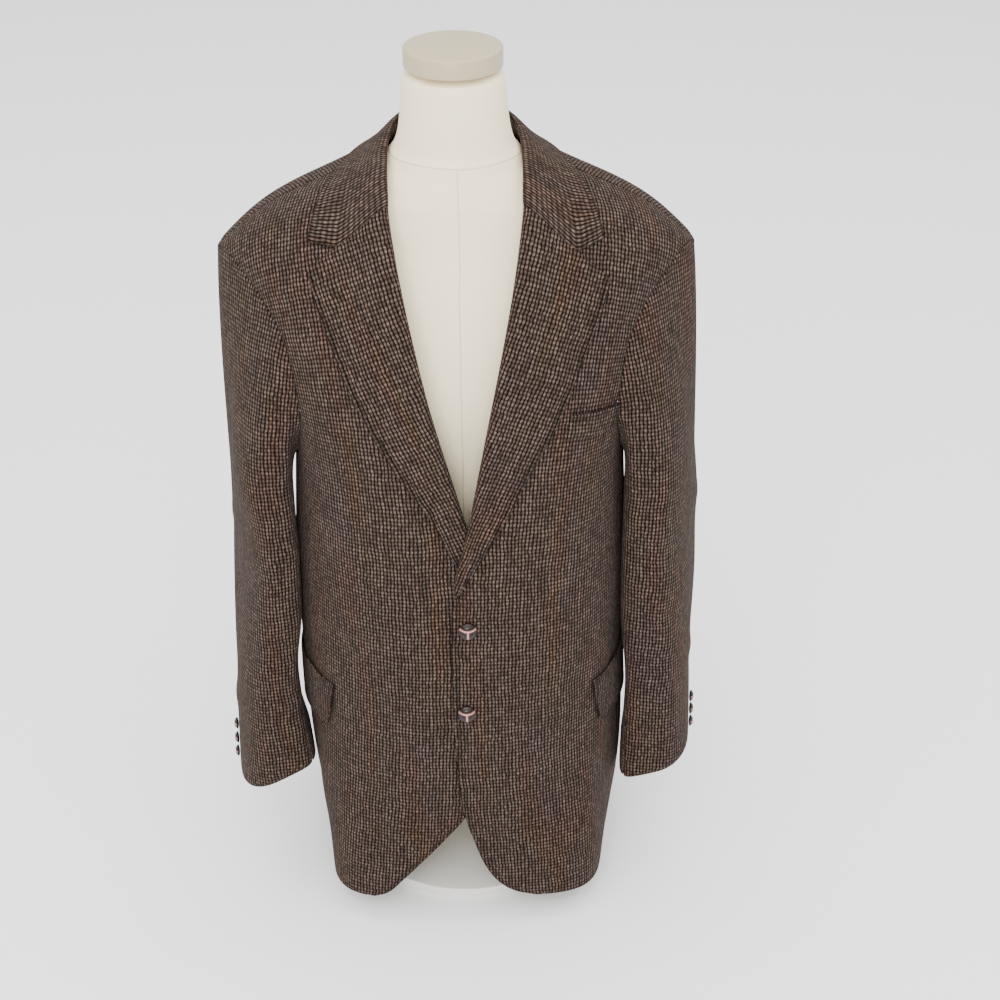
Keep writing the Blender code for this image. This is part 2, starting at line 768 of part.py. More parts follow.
# The sleeves' largest creases: how far round, how high, how long and wide, how deep, and how they lean.
SLEEVE_FOLDS = (
    ("turn", "height", "half_turn", "half_height", "depth", "lean"),
    (0.08, 0.44, 0.20, 0.034, -0.0045, 0.30),
    (0.88, 0.42, 0.18, 0.034, -0.0045, -0.25),
    (0.14, 0.33, 0.18, 0.036, 0.0030, 0.30),
    (0.90, 0.27, 0.16, 0.036, -0.0030, -0.20),
)


def armhole(side):
    """The armhole's edge from the shoulder's tip, down the front, under the arm and up the back.

    Returns the points a seam's gap off the edge, the way in which the sleeve's cloth sets off from each, and
    the same points on the cloth's inner side.
    """
    upper = [mix(UNDERARM, CROWN, t) for t in UPPER_SHARES]
    path = [(front_outer(c), c) for c in reversed(upper)]
    path += [(mix(FRONT_SEAM, BACK_SEAM, k / UNDERARM_STEPS), UNDERARM) for k in range(UNDERARM_STEPS + 1)]
    path += [(back_outer(c), c) for c in upper[:-1]]
    points = [plain_cloth(side * girth, climb) for girth, climb in path]
    count = len(points)
    starts, ways, insides = [], [], []
    for k, (girth, climb) in enumerate(path):
        normal = outward(side * girth, climb)
        along = points[(k + 1) % count] - points[k - 1]
        away = np.cross(along, normal)
        into_hole = np.array([side, 0.0, 0.0]) if climb > UNDERARM else np.array([0.0, 0.0, 1.0])
        away *= math.copysign(1 / np.linalg.norm(away), away @ into_hole)
        starts.append(points[k] + away * ARMHOLE_GAP)
        insides.append(starts[-1] - normal * CLOTH)
        carry = 0.5 + 0.5 * math.cos(2 * math.pi * k / count)
        way = mix(normal, away, carry)
        ways.append(way / np.linalg.norm(way) * mix(SIDE_SET_OFF, CROWN_SET_OFF, carry))
    return starts, ways, np.array(insides)


def sleeve_section(table, side, height, turn):
    """A point of a level section: turn 0 is the outer side, a quarter the front, a half against the body."""
    middle_x, middle_y, half_x, half_y, turned_in = (smooth(table, height, name) for name in table[0][1:])
    angle = 2 * math.pi * turn
    cos, sin = math.cos(angle), math.sin(angle)
    square = OUTER_SQUARENESS if cos > 0 else INNER_SQUARENESS
    out = half_x * math.copysign(abs(cos) ** (2 / square), cos)
    back = -half_y * math.copysign(abs(sin) ** (2 / square), sin)
    swing = math.radians(turned_in)
    x = middle_x + out * math.cos(swing) + back * math.sin(swing)
    y = middle_y - out * math.sin(swing) + back * math.cos(swing)
    return np.array([side * x, y, height])


def sleeve_fold(turn, height):
    total = 0.0
    for place, middle, half_turn, half_height, depth, lean in SLEEVE_FOLDS[1:]:
        away = (turn - place + 0.5) % 1.0 - 0.5
        if abs(away) < half_turn:
            aside = (height - middle - lean * away) / half_height
            total += depth * math.exp(-aside * aside) * (1 - (away / half_turn) ** 2) ** 2
    return total


def cuff_drop(table, side, across, height):
    """How far the cuff's slanted hem moves a point, by its place between the sleeve's inner and outer sides."""
    cuff_height, middle_x = table[-1][:2]
    share = (SLEEVE_TOP - height) / (SLEEVE_TOP - cuff_height)
    slope = LEFT_CUFF_SLOPE if side > 0 else RIGHT_CUFF_SLOPE
    return slope * (across - middle_x) * ease(share * (1 + CUFF_START) - CUFF_START)


def sleeve_grid(side, table):
    """The whole sleeve's outer points: one row for each ring from the armhole down, one column for each turn."""
    hole, ways, insides = armhole(side)
    run = [0.0]
    for one, two in zip(hole, hole[1:] + hole[:1]):
        run.append(run[-1] + np.linalg.norm(two - one))
    turns = [r / run[-1] for r in run[:-1]]
    grid = []
    for k in range(CAP_ROWS + 1):
        s = k / CAP_ROWS
        line = []
        for start, way, turn in zip(hole, ways, turns):
            end = sleeve_section(table, side, SLEEVE_TOP, turn)
            gap = np.linalg.norm(end - start)
            line.append(
                (1 + 2 * s) * (1 - s) ** 2 * start
                + s * (1 - s) ** 2 * way * gap
                + s * s * (3 - 2 * s) * end
                + s * s * (s - 1) * np.array([0.0, 0.0, -gap])
            )
        grid.append(line)
    for k in range(1, ARM_ROWS + 1):
        height = mix(SLEEVE_TOP, table[-1][0], k / ARM_ROWS)
        line = []
        for turn in turns:
            place = sleeve_section(table, side, height, turn)
            across = place - sleeve_section(table, side, height, (turn + 0.5) % 1.0)
            place = place + across / np.linalg.norm(across) * sleeve_fold(turn, height)
            place[2] += cuff_drop(table, side, abs(place[0]), height)
            line.append(place)
        grid.append(line)
    return np.array(grid), turns, insides


def inside_of(grid, first):
    """The points one cloth's thickness inside a ring grid whose columns close on themselves."""
    around = np.roll(grid, -1, axis=1) - np.roll(grid, 1, axis=1)
    down = np.gradient(grid, axis=0)
    normal = np.cross(around, down)
    normal /= np.linalg.norm(normal, axis=2, keepdims=True)
    middle = grid.mean(axis=1, keepdims=True)
    flip = np.sign(np.sum(normal * (grid - middle), axis=2).mean())
    inner = grid - normal * flip * CLOTH
    inner[0] = first
    return inner


def make_sleeve(side, word, table):
    grid, turns, insides = sleeve_grid(side, table)
    inner = inside_of(grid, insides)
    count = len(turns)
    fore = min(range(count), key=lambda i: abs(turns[i] - FOREARM_SEAM))
    hind = min(range(count), key=lambda i: abs(turns[i] - HINDARM_SEAM))
    top = [i % count for i in range(hind, count + fore + 1)]
    under = list(range(fore, hind + 1))
    for name, columns in ((f"top_sleeve_{word}", top), (f"under_sleeve_{word}", under)):
        face, lining = grid[:, columns].copy(), inner[:, columns].copy()
        for edge, neighbour in ((0, 1), (-1, -2)):
            for layer in (face, lining):
                way = layer[:, neighbour] - layer[:, edge]
                way /= np.linalg.norm(way, axis=1, keepdims=True)
                layer[:, edge] += way * SEAM_GAP
        wall(name, face, lining, tweed())


# ---------------------------------------------------------------- pockets and buttons

FLAP_FRONT = 0.140
FLAP_HEIGHT = 0.280
FLAP_LENGTH = 0.150
FLAP_DROP = 0.066
FLAP_CORNER = 0.013
FLAP_ROUND = 0.9  # how far in a corner's rounding draws the edge, as a share of its radius
FLAP_SLANT = 0.012  # how much further back the front edge lies at the bottom
FLAP_DOWNS = (0.0, 0.25, 0.5, 0.75, 0.9, 1.0)
FLAP_COLUMNS = 10
WELT_INNER = 0.108
WELT_HEIGHT = 0.612
WELT_LENGTH = 0.060
WELT_DEPTH = 0.028
WELT_UPS = (0.0, 0.5, 1.0)
WELT_COLUMNS = 6
WELT_GAPE = 0.0020  # how far the welt's outer end stands away at its top
SEAT_GAP = 0.0005  # what a sewn-on edge keeps to the cloth beneath it
FLAP_SWING = 0.0008  # how much further off the cloth a flap's lower edge hangs


def make_flap(side, word):
    start, _ = spot(FLAP_FRONT, FLAP_HEIGHT)
    face, lining = [], []
    for down in FLAP_DOWNS:
        corner = max(down * FLAP_DROP - (FLAP_DROP - FLAP_CORNER), 0.0)
        cut = FLAP_ROUND * (FLAP_CORNER - math.sqrt(max(FLAP_CORNER**2 - corner**2, 0.0)))
        climb = FLAP_HEIGHT - down * FLAP_DROP
        lift = mix(SEAT_GAP, LAYER_GAP + FLAP_SWING, math.sqrt(down))
        face_row, lining_row = [], []
        for k in range(FLAP_COLUMNS + 1):
            girth = mix(start + cut + FLAP_SLANT * down, start + FLAP_LENGTH - cut, k / FLAP_COLUMNS)
            face_row.append(body_cloth(side * girth, climb, lift + CLOTH))
            lining_row.append(body_cloth(side * girth, climb, lift))
        face.append(face_row)
        lining.append(lining_row)
    wall(f"pocket_flap_{word}", face, lining, tweed())


def make_welt():
    start, _ = spot(WELT_INNER, WELT_HEIGHT)
    face, lining = [], []
    for up in WELT_UPS:
        _, climb = spot(WELT_INNER, WELT_HEIGHT + mix(-WELT_DEPTH, WELT_DEPTH, up) / 2)
        face_row, lining_row = [], []
        for k in range(WELT_COLUMNS + 1):
            share = k / WELT_COLUMNS
            girth = mix(start, start + WELT_LENGTH, share)
            lift = mix(SEAT_GAP, LAYER_GAP, up) + WELT_GAPE * up * share**3
            face_row.append(body_cloth(girth, climb, lift + CLOTH))
            lining_row.append(body_cloth(girth, climb, lift))
        face.append(face_row)
        lining.append(lining_row)
    wall("breast_welt", face, lining, tweed())


# A domed, leather-covered button on its shank, as shares of its radius.
BUTTON_PROFILE = (
    ("radius", "rise"),
    (0.28, 0.03),
    (0.28, 0.12),
    (0.86, 0.15),
    (1.00, 0.36),
    (0.72, 0.66),
    (0.24, 0.75),
)
BUTTON_SEAT = 0.0001
FRONT_BUTTONS = (
    ("across", "height"),
    (0.0055, 0.383),
    (0.0030, 0.274),
)
FRONT_BUTTON_SIDES = 14
CUFF_BUTTON_SIDES = 10
CUFF_BUTTON_TURN = 0.985
CUFF_BUTTON_HEIGHTS = (0.140, 0.158, 0.176)


def make_button(name, place, normal, radius, sides):
    normal = normal / np.linalg.norm(normal)
    right = np.cross((0.0, 0.0, 1.0), normal)
    right /= np.linalg.norm(right)
    up = np.cross(normal, right)
    loops = []
    for share, rise in BUTTON_PROFILE[1:]:
        loop = []
        for k in range(sides):
            angle = 2 * math.pi * k / sides
            spoke = right * math.cos(angle) + up * math.sin(angle)
            loop.append(place + spoke * share * radius + normal * rise * radius)
        loops.append(loop)
    loft(name, loops, material("leather", OXBLOOD, 0.30))


def make_front_buttons():
    for k, (across, height) in enumerate(FRONT_BUTTONS[1:]):
        place = front_cloth(1, across, height, BUTTON_SEAT)
        normal = front_cloth(1, across, height, BUTTON_RADIUS) - place
        make_button(f"front_button_{k + 1}", place, normal, BUTTON_RADIUS, FRONT_BUTTON_SIDES)


def on_sleeve(grid, turns, turn, share):
    """The sleeve's outer surface at a turn and a share of the arm's length: a point, and the way out."""
    row = CAP_ROWS + share * ARM_ROWS
    r = min(int(row), len(grid) - 2)
    after = next((i for i, t in enumerate(turns) if t > turn), 0)
    start, end = turns[after - 1], turns[after] or 1.0
    share = (turn - start) / (end - start)
    upper = mix(grid[r][after - 1], grid[r][after], share)
    lower = mix(grid[r + 1][after - 1], grid[r + 1][after], share)
    normal = np.cross(grid[r][after] - grid[r][after - 1], lower - upper)
    if normal @ (upper - grid[r].mean(axis=0)) < 0:
        normal = -normal
    return mix(upper, lower, row - r), normal / np.linalg.norm(normal)


def make_cuff_buttons(side, word, table):
    grid, turns, _ = sleeve_grid(side, table)
    sides = CUFF_BUTTON_SIDES
    for k, height in enumerate(CUFF_BUTTON_HEIGHTS):
        share = (SLEEVE_TOP - height) / (SLEEVE_TOP - table[-1][0])
        place, normal = on_sleeve(grid, turns, CUFF_BUTTON_TURN, share)
        make_button(f"cuff_button_{word}_{k + 1}", place + normal * SEAM_GAP, normal, CUFF_BUTTON_RADIUS, sides)


# ---------------------------------------------------------------- the dress form and its stand

FORM_FOOT = 0.100
FORM_SECTIONS = (
    ("height", "half_width", "front_depth", "back_depth", "squareness"),
    (FORM_FOOT, 0.120, 0.105, 0.110, 2.2),
    (0.200, 0.132, 0.115, 0.120, 2.2),
    (0.300, 0.128, 0.110, 0.110, 2.2),
    (0.400, 0.108, 0.098, 0.090, 2.2),
    (0.500, 0.118, 0.112, 0.092, 2.2),
    (0.600, 0.136, 0.128, 0.100, 2.2),
    (0.660, 0.150, 0.118, 0.105, 2.3),
    (0.710, 0.172, 0.102, 0.103, 2.3),
    (0.745, 0.187, 0.087, 0.098, 2.3),
    (0.768, 0.190, 0.077, 0.092, 2.2),
    (0.785, 0.1825, 0.072, 0.086, 2.2),
    (0.797, 0.1605, 0.069, 0.082, 2.1),
    (0.806, 0.1410, 0.067, 0.079, 2.1),
    (0.815, 0.1190, 0.064, 0.075, 2.0),
    (0.825, 0.0965, 0.061, 0.069, 2.0),
    (0.8345, 0.0750, 0.058, 0.063, 2.0),
    (0.845, 0.0660, 0.056, 0.060, 2.0),
    (0.852, 0.0600, 0.053, 0.056, 2.0),
    (0.875, 0.0545, 0.052, 0.053, 2.0),
    (0.905, 0.0515, 0.0505, 0.0515, 2.0),
    (0.9285, 0.0490, 0.0490, 0.0490, 2.0),
)
FORM_SIDES = 32
CAP_RADIUS = 0.0485
CAP_FOOT = 0.9290
CAP_TOP = 0.9480
POLE_RADIUS = 0.016
BASE_RADIUS = 0.140
BASE_THICKNESS = 0.012
TURNED_BEVEL = 0.0015
CAP_SIDES = 40
POLE_SIDES = 24
BASE_SIDES = 48


def oval(height, half_width, front, back, square):
    loop = []
    for k in range(FORM_SIDES):
        angle = 2 * math.pi * k / FORM_SIDES
        cos, sin = math.cos(angle), math.sin(angle)
        x = half_width * math.copysign(abs(cos) ** (2 / square), cos)
        depth = back if sin > 0 else front
        y = depth * math.copysign(abs(sin) ** (2 / square), sin)
        loop.append(np.array([x, y, height]))
    return loop


def make_form():
    loops = [oval(*row) for row in FORM_SECTIONS[1:]]
    loft("form_torso", loops, material("form cover", FORM_CREAM, 0.75))


def round_solid(name, rows, surface, sides):
    """A turned solid from rows of radius and height."""
    angles = [2 * math.pi * k / sides for k in range(sides)]
    loops = []
    for radius, height in rows:
        loops.append([np.array([radius * math.cos(a), radius * math.sin(a), height]) for a in angles])
    loft(name, loops, surface)


def make_stand():
    cap = material("neck cap", CAP_CREAM, 0.35)
    rows = (
        (CAP_RADIUS - TURNED_BEVEL, CAP_FOOT),
        (CAP_RADIUS, CAP_FOOT + TURNED_BEVEL),
        (CAP_RADIUS, CAP_TOP - TURNED_BEVEL),
        (CAP_RADIUS - TURNED_BEVEL, CAP_TOP),
    )
    round_solid("neck_cap", rows, cap, CAP_SIDES)
    metal = material("stand paint", STAND_WHITE, 0.35)
    floor = -HEM_HEIGHT
    pole = (
        (POLE_RADIUS, floor + BASE_THICKNESS + SEAM_GAP),
        (POLE_RADIUS, FORM_FOOT - SEAM_GAP),
    )
    round_solid("stand_pole", pole, metal, POLE_SIDES)
    base = (
        (BASE_RADIUS, floor),
        (BASE_RADIUS, floor + BASE_THICKNESS - 2 * TURNED_BEVEL),
        (BASE_RADIUS - 2 * TURNED_BEVEL, floor + BASE_THICKNESS),
    )
    round_solid("stand_base", base, metal, BASE_SIDES)


def main():
    clean_scene()
    make_body()
    make_collar()
    make_collar_stand()
    make_welt()
    make_front_buttons()
    for side, word, layer, sleeve in ((1, "left", "over", LEFT_SLEEVE), (-1, "right", "under", RIGHT_SLEEVE)):
        make_lapel(side, f"lapel_{word}_{layer}")
        make_sleeve(side, word, sleeve)
        make_flap(side, word)
        make_cuff_buttons(side, word, sleeve)
    make_form()
    make_stand()


main()
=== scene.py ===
"""The looks of a brown tweed jacket on a cream dress form: cloth, stitching, leather buttons, form and stand.

Metres, +Z up.  The jacket faces -Y and its wearer's left is +X.
"""

import math

import bmesh
import bpy
import numpy as np
from mathutils import Matrix, Vector


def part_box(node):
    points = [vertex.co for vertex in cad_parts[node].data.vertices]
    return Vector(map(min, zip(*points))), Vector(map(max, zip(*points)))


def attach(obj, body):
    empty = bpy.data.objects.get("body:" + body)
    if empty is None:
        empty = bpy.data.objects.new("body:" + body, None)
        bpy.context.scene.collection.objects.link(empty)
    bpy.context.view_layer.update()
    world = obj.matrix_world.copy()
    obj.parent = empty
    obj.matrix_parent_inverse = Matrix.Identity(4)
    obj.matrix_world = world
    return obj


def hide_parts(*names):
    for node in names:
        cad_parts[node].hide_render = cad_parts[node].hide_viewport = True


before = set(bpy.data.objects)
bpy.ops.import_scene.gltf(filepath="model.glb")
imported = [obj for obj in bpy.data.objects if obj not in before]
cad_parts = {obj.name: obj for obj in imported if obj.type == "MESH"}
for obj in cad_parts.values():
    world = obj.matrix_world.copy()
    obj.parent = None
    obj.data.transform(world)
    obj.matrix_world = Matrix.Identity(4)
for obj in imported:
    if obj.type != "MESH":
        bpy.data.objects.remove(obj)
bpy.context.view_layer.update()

# ---------------------------------------------------------------- camera
# One camera, a little above the shoulders and looking down on the front of the jacket.

CAMERA_PLACE = (0.012, -1.655, 1.526)
CAMERA_DOWN = math.radians(32.51)
CAMERA_TURN = math.radians(1.08)
CAMERA_ROLL = math.radians(-0.27)
FOCAL_PIXELS = 1759
FRAME_PIXELS = 1000

view = bpy.data.cameras.new("camera")
view.sensor_width = 36.0
view.lens = view.sensor_width * FOCAL_PIXELS / FRAME_PIXELS
view.dof.use_dof = False
camera = bpy.data.objects.new("camera", view)
bpy.context.scene.collection.objects.link(camera)
ahead = Vector(
    (
        math.sin(CAMERA_TURN) * math.cos(CAMERA_DOWN),
        math.cos(CAMERA_TURN) * math.cos(CAMERA_DOWN),
        -math.sin(CAMERA_DOWN),
    )
)
level = ahead.cross(Vector((0, 0, 1))).normalized()
upright = level.cross(ahead)
right = level * math.cos(CAMERA_ROLL) + upright * math.sin(CAMERA_ROLL)
top = upright * math.cos(CAMERA_ROLL) - level * math.sin(CAMERA_ROLL)
turned = Matrix((right, top, -ahead)).transposed()
camera.matrix_world = Matrix.Translation(CAMERA_PLACE) @ turned.to_4x4()
bpy.context.scene.camera = camera

# ---------------------------------------------------------------- the body's cloth
# Two fronts, two side bodies and two backs of a firm brown tweed, sewn edge to edge.  The left front laps
# over the right.  The free edges are turned in and stitched five millimetres from the fold.

# Driving sizes, in metres.
HEM_HEIGHT = 0.040
CLOTH = 0.0024
SEAM_GAP = 0.0004
ARMHOLE_GAP = 0.0008
LAYER_GAP = 0.0014
SHELL = 0.0018  # the thickness of the cloth that shows

# The body's level sections, by height above the hem, from the hem to the underarm.
BODY_SECTIONS = (
    ("height", "half_width", "front_depth", "back_depth", "squareness"),
    (0.00, 0.163, 0.179, 0.172, 5.5),
    (0.06, 0.171, 0.179, 0.166, 4.0),
    (0.13, 0.179, 0.179, 0.160, 3.0),
    (0.28, 0.180, 0.179, 0.152, 2.6),
    (0.42, 0.179, 0.176, 0.146, 2.6),
    (0.54, 0.175, 0.172, 0.146, 2.7),
)
UNDERARM = 0.54
CROWN = 0.84
SHOULDER_FLARE = 0.47
FRONT_ARCH = 2.3
BACK_ARCH = 2.8
# The ridge of the shoulders: distance from the middle, height above the hem, and how far back it lies.
SHOULDER_TIP = 0.243
SHOULDER_RIDGE = (
    ("across", "height", "back"),
    (0.000, 0.856, 0.014),
    (0.065, 0.845, 0.013),
    (0.090, 0.834, 0.012),
    (0.120, 0.819, 0.010),
    (0.160, 0.803, 0.006),
    (0.200, 0.782, 0.002),
    (0.225, 0.762, 0.000),
    (SHOULDER_TIP, 0.745, 0.000),
)


def smooth(table, at, name):
    """A table's named column at a value of its first column, on a smooth curve that never overshoots."""
    place = table[0].index(name)
    x = np.array([row[0] for row in table[1:]])
    y = np.array([row[place] for row in table[1:]])
    if x[0] > x[-1]:
        x, y = x[::-1], y[::-1]
    at = min(max(at, x[0]), x[-1])
    secant = np.diff(y) / np.diff(x)
    slope = np.concatenate([[secant[0]], (secant[1:] + secant[:-1]) / 2, [secant[-1]]])
    flat = np.concatenate([[False], secant[1:] * secant[:-1] <= 0, [False]])
    slope[flat] = 0.0
    i = min(int(np.searchsorted(x, at, side="right")) - 1, len(x) - 2)
    span = x[i + 1] - x[i]
    t = (at - x[i]) / span
    return float(
        (1 + 2 * t) * (1 - t) ** 2 * y[i]
        + t * (1 - t) ** 2 * span * slope[i]
        + t * t * (3 - 2 * t) * y[i + 1]
        + t * t * (t - 1) * span * slope[i + 1]
    )


def ease(t):
    """0 below 0, 1 above 1, and a smooth step between."""
    t = min(max(t, 0.0), 1.0)
    return t * t * (3 - 2 * t)


def mix(a, b, t):
    return a + (b - a) * t


RING_STEPS = 200
rings = {}


def ring(height):
    """Half a level section, from centre front to centre back: distance run, half widths and depths."""
    key = round(min(max(height, 0.0), UNDERARM), 5)
    if key not in rings:
        half_width, front, back, square = (smooth(BODY_SECTIONS, key, name) for name in BODY_SECTIONS[0][1:])
        turn = np.linspace(0, math.pi, 2 * RING_STEPS + 1)
        across = half_width * np.sin(turn) ** (2 / square)
        across[-1] = 0.0
        depth = np.abs(np.cos(turn)) ** (2 / square)
        along = np.where(turn <= math.pi / 2, -front * depth, back * depth)
        run = np.concatenate([[0], np.cumsum(np.hypot(np.diff(across), np.diff(along)))])
        rings[key] = (run, across, along)
    return rings[key]


HALF_GIRTH = ring(UNDERARM)[0][-1]


def ring_point(girth, height):
    run, across, along = ring(height)
    at = min(abs(girth) / HALF_GIRTH, 1.0) * run[-1]
    side = -1.0 if girth < 0 else 1.0
    return side * np.interp(at, run, across), np.interp(at, run, along)


def girth_at(across, height, back=False):
    """The girth of the point of a level section that lies at a distance from the middle."""
    run, half, _ = ring(height)
    middle = int(np.argmax(half))
    reach = min(abs(across), half[middle])
    if back:
        at = np.interp(reach, half[middle:][::-1], run[middle:][::-1])
    else:
        at = np.interp(reach, half[: middle + 1], run[: middle + 1])
    return math.copysign(at / run[-1] * HALF_GIRTH, across)


def plain_cloth(girth, climb):
    """A point of the body's cloth before its folds."""
    if climb <= UNDERARM:
        x, y = ring_point(girth, climb)
        return np.array([x, y, climb])
    t = min((climb - UNDERARM) / (CROWN - UNDERARM), 1.0)
    x, y = ring_point(girth, UNDERARM)
    x *= 1 + SHOULDER_FLARE * t
    top = smooth(SHOULDER_RIDGE, abs(x), "height")
    back = smooth(SHOULDER_RIDGE, abs(x), "back")
    arch = BACK_ARCH if y > 0 else FRONT_ARCH
    rise = math.sin(t * math.pi / 2) ** (2 / arch)
    inward = max(math.cos(t * math.pi / 2), 0.0) ** (2 / arch)
    return np.array([x, mix(back, y, inward), mix(UNDERARM, top, rise)])


def spot(across, height, back=False):
    """The girth and climb of a point of the cloth given by its distance from the middle and its height."""
    if height <= UNDERARM:
        return girth_at(across, height, back), height
    top = smooth(SHOULDER_RIDGE, abs(across), "height")
    rise = min((height - UNDERARM) / (top - UNDERARM), 1.0)
    arch = BACK_ARCH if back else FRONT_ARCH
    t = math.asin(rise ** (arch / 2)) / (math.pi / 2)
    return girth_at(across / (1 + SHOULDER_FLARE * t), UNDERARM, back), UNDERARM + t * (CROWN - UNDERARM)


# The body's largest folds: soft ridges and troughs that run down the cloth.
BODY_FOLDS = (
    ("girth", "climb", "half_length", "half_width", "depth", "lean"),
    (0.135, 0.12, 0.16, 0.022, 0.0040, 0.05),
    (0.175, 0.12, 0.18, 0.024, -0.0040, 0.03),
    (0.240, 0.11, 0.18, 0.034, 0.0050, 0.00),
    (-0.130, 0.14, 0.18, 0.024, 0.0045, -0.06),
    (-0.200, 0.05, 0.14, 0.030, -0.0060, -0.03),
    (-0.225, 0.35, 0.25, 0.036, 0.0054, 0.00),
    (0.235, 0.40, 0.20, 0.036, 0.0020, 0.00),
    (0.345, 0.12, 0.16, 0.026, 0.0050, -0.03),
    (-0.340, 0.14, 0.16, 0.026, 0.0050, 0.03),
    (0.400, 0.16, 0.20, 0.026, 0.0045, -0.04),
    (-0.395, 0.18, 0.20, 0.026, 0.0045, 0.04),
    (0.100, 0.66, 0.07, 0.018, -0.0030, -0.20),
    (-0.100, 0.66, 0.07, 0.018, -0.0030, 0.20),
)


def fold_height(girth, climb):
    total = 0.0
    for place, middle, half_length, half_width, depth, lean in BODY_FOLDS[1:]:
        along = (climb - middle) / half_length
        if abs(along) < 1:
            aside = (girth - place - lean * (climb - middle)) / half_width
            total += depth * math.exp(-aside * aside) * (1 - along * along) ** 2
    return total


STEP = 0.004  # the short way over which a slope of the cloth is read
RIDGE_MARGIN = 0.002


def outward(girth, climb):
    """The cloth's outward direction."""
    if climb > CROWN - STEP / 4:
        across = plain_cloth(girth, CROWN)[0]
        right = smooth(SHOULDER_RIDGE, abs(across + STEP), "height")
        left = smooth(SHOULDER_RIDGE, abs(across - STEP), "height")
        normal = np.array([left - right, 0.0, 2 * STEP])
        return normal / np.linalg.norm(normal)
    low, high = max(climb - STEP, 0.0), min(climb + STEP, CROWN - RIDGE_MARGIN)
    low = min(low, high - STEP)
    round_it = plain_cloth(girth + STEP, min(climb, high)) - plain_cloth(girth - STEP, min(climb, high))
    if abs(girth) + STEP > HALF_GIRTH:
        round_it = np.array([-1.0, 0.0, 0.0])
    up_it = plain_cloth(girth, high) - plain_cloth(girth, low)
    normal = np.cross(round_it, up_it)
    return normal / np.linalg.norm(normal)


def body_cloth(girth, climb, lift=0.0):
    """A point of the body's cloth, moved outwards by lift."""
    push = lift + fold_height(girth, climb)
    return plain_cloth(girth, climb) + outward(girth, climb) * push


# Edges of the fronts on their own side of the middle: minus is past it.  The over front is the wearer's left.
OVER_FRONT_EDGE = (
    ("height", "across"),
    (0.000, 0.082),
    (0.006, 0.058),
    (0.018, 0.040),
    (0.050, 0.020),
    (0.089, 0.008),
    (0.124, -0.002),
    (0.200, -0.009),
    (0.300, -0.012),
    (0.418, -0.010),
    (0.450, -0.003),
    (0.499, 0.009),
    (0.560, 0.020),
    (0.625, 0.032),
    (0.690, 0.045),
    (0.750, 0.057),
    (0.800, 0.066),
    (0.825, 0.070),
)
UNDER_FRONT_EDGE = (
    ("height", "across"),
    (0.000, 0.108),
    (0.006, 0.092),
    (0.019, 0.080),
    (0.058, 0.048),
    (0.096, 0.016),
    (0.124, -0.004),
    (0.160, -0.014),
    (0.220, -0.018),
    (0.418, -0.017),
    (0.450, -0.014),
    (0.489, -0.007),
    (0.537, 0.005),
    (0.587, 0.018),
    (0.644, 0.032),
    (0.704, 0.045),
    (0.750, 0.055),
    (0.800, 0.065),
    (0.825, 0.069),
)
NECK_POINT = 0.076
ON_RIDGE = 1.0  # higher than all the cloth, so a spot at this height lies on the shoulder's ridge
# The armhole seam, from the underarm to the shoulder's tip: height and distance from the middle.
FRONT_ARMHOLE = (
    ("height", "across"),
    (0.600, 0.1590),
    (0.642, 0.1640),
    (0.672, 0.1660),
    (0.700, 0.1770),
    (0.718, 0.1910),
    (0.730, 0.2020),
    (0.741, 0.2160),
)
BACK_ARMHOLE = (
    ("height", "across"),
    (0.600, 0.1580),
    (0.640, 0.1640),
    (0.680, 0.1760),
    (0.705, 0.1900),
    (0.725, 0.2060),
    (0.740, 0.2220),
)
FRONT_SEAM = 0.215
BACK_SEAM = 0.345
LOWER_CLIMBS = (
    0.0, 0.006, 0.018, 0.037, 0.058, 0.089, 0.124, 0.170, 0.230, 0.290, 0.350, 0.418, 0.470, 0.540,
)
UPPER_SHARES = (0.10, 0.21, 0.33, 0.45, 0.57, 0.69, 0.80, 0.91, 1.0)


def climbs():
    return list(LOWER_CLIMBS) + [mix(UNDERARM, CROWN, t) for t in UPPER_SHARES]


def edge_girths(table, back=False):
    """A seam's table of heights and distances from the middle, as a table of climbs and girths."""
    out = [("climb", "girth")]
    for height, across in table[1:]:
        girth, climb = spot(across, height, back)
        out.append((climb, girth))
    return out


def front_inner(side, climb):
    edge = edge_girths(OVER_FRONT_EDGE if side > 0 else UNDER_FRONT_EDGE)
    neck, _ = spot(NECK_POINT, ON_RIDGE)
    edge.append((CROWN, neck))
    return smooth(edge, climb, "girth")


def front_outer(climb):
    if climb <= UNDERARM:
        return FRONT_SEAM
    tip, _ = spot(SHOULDER_TIP, ON_RIDGE)
    seam = edge_girths(FRONT_ARMHOLE)
    seam.insert(1, (UNDERARM, FRONT_SEAM))
    seam.append((CROWN, tip))
    return smooth(seam, climb, "girth")


def back_outer(climb):
    if climb <= UNDERARM:
        return BACK_SEAM
    tip, _ = spot(SHOULDER_TIP, ON_RIDGE, back=True)
    seam = edge_girths(BACK_ARMHOLE, back=True)
    seam.insert(1, (UNDERARM, BACK_SEAM))
    seam.append((CROWN, tip))
    return smooth(seam, climb, "girth")


BACK_NECK = 0.81  # how far up the yoke the neckline starts at the centre back


def back_inner(climb):
    """The centre-back seam, then the neckline that turns out to the neck point."""
    neck, _ = spot(NECK_POINT, ON_RIDGE, back=True)
    start = mix(UNDERARM, CROWN, BACK_NECK)
    if climb <= start:
        return HALF_GIRTH
    share = (climb - start) / (CROWN - start)
    return mix(HALF_GIRTH, neck, math.sqrt(share) if share < 1 else 1.0)


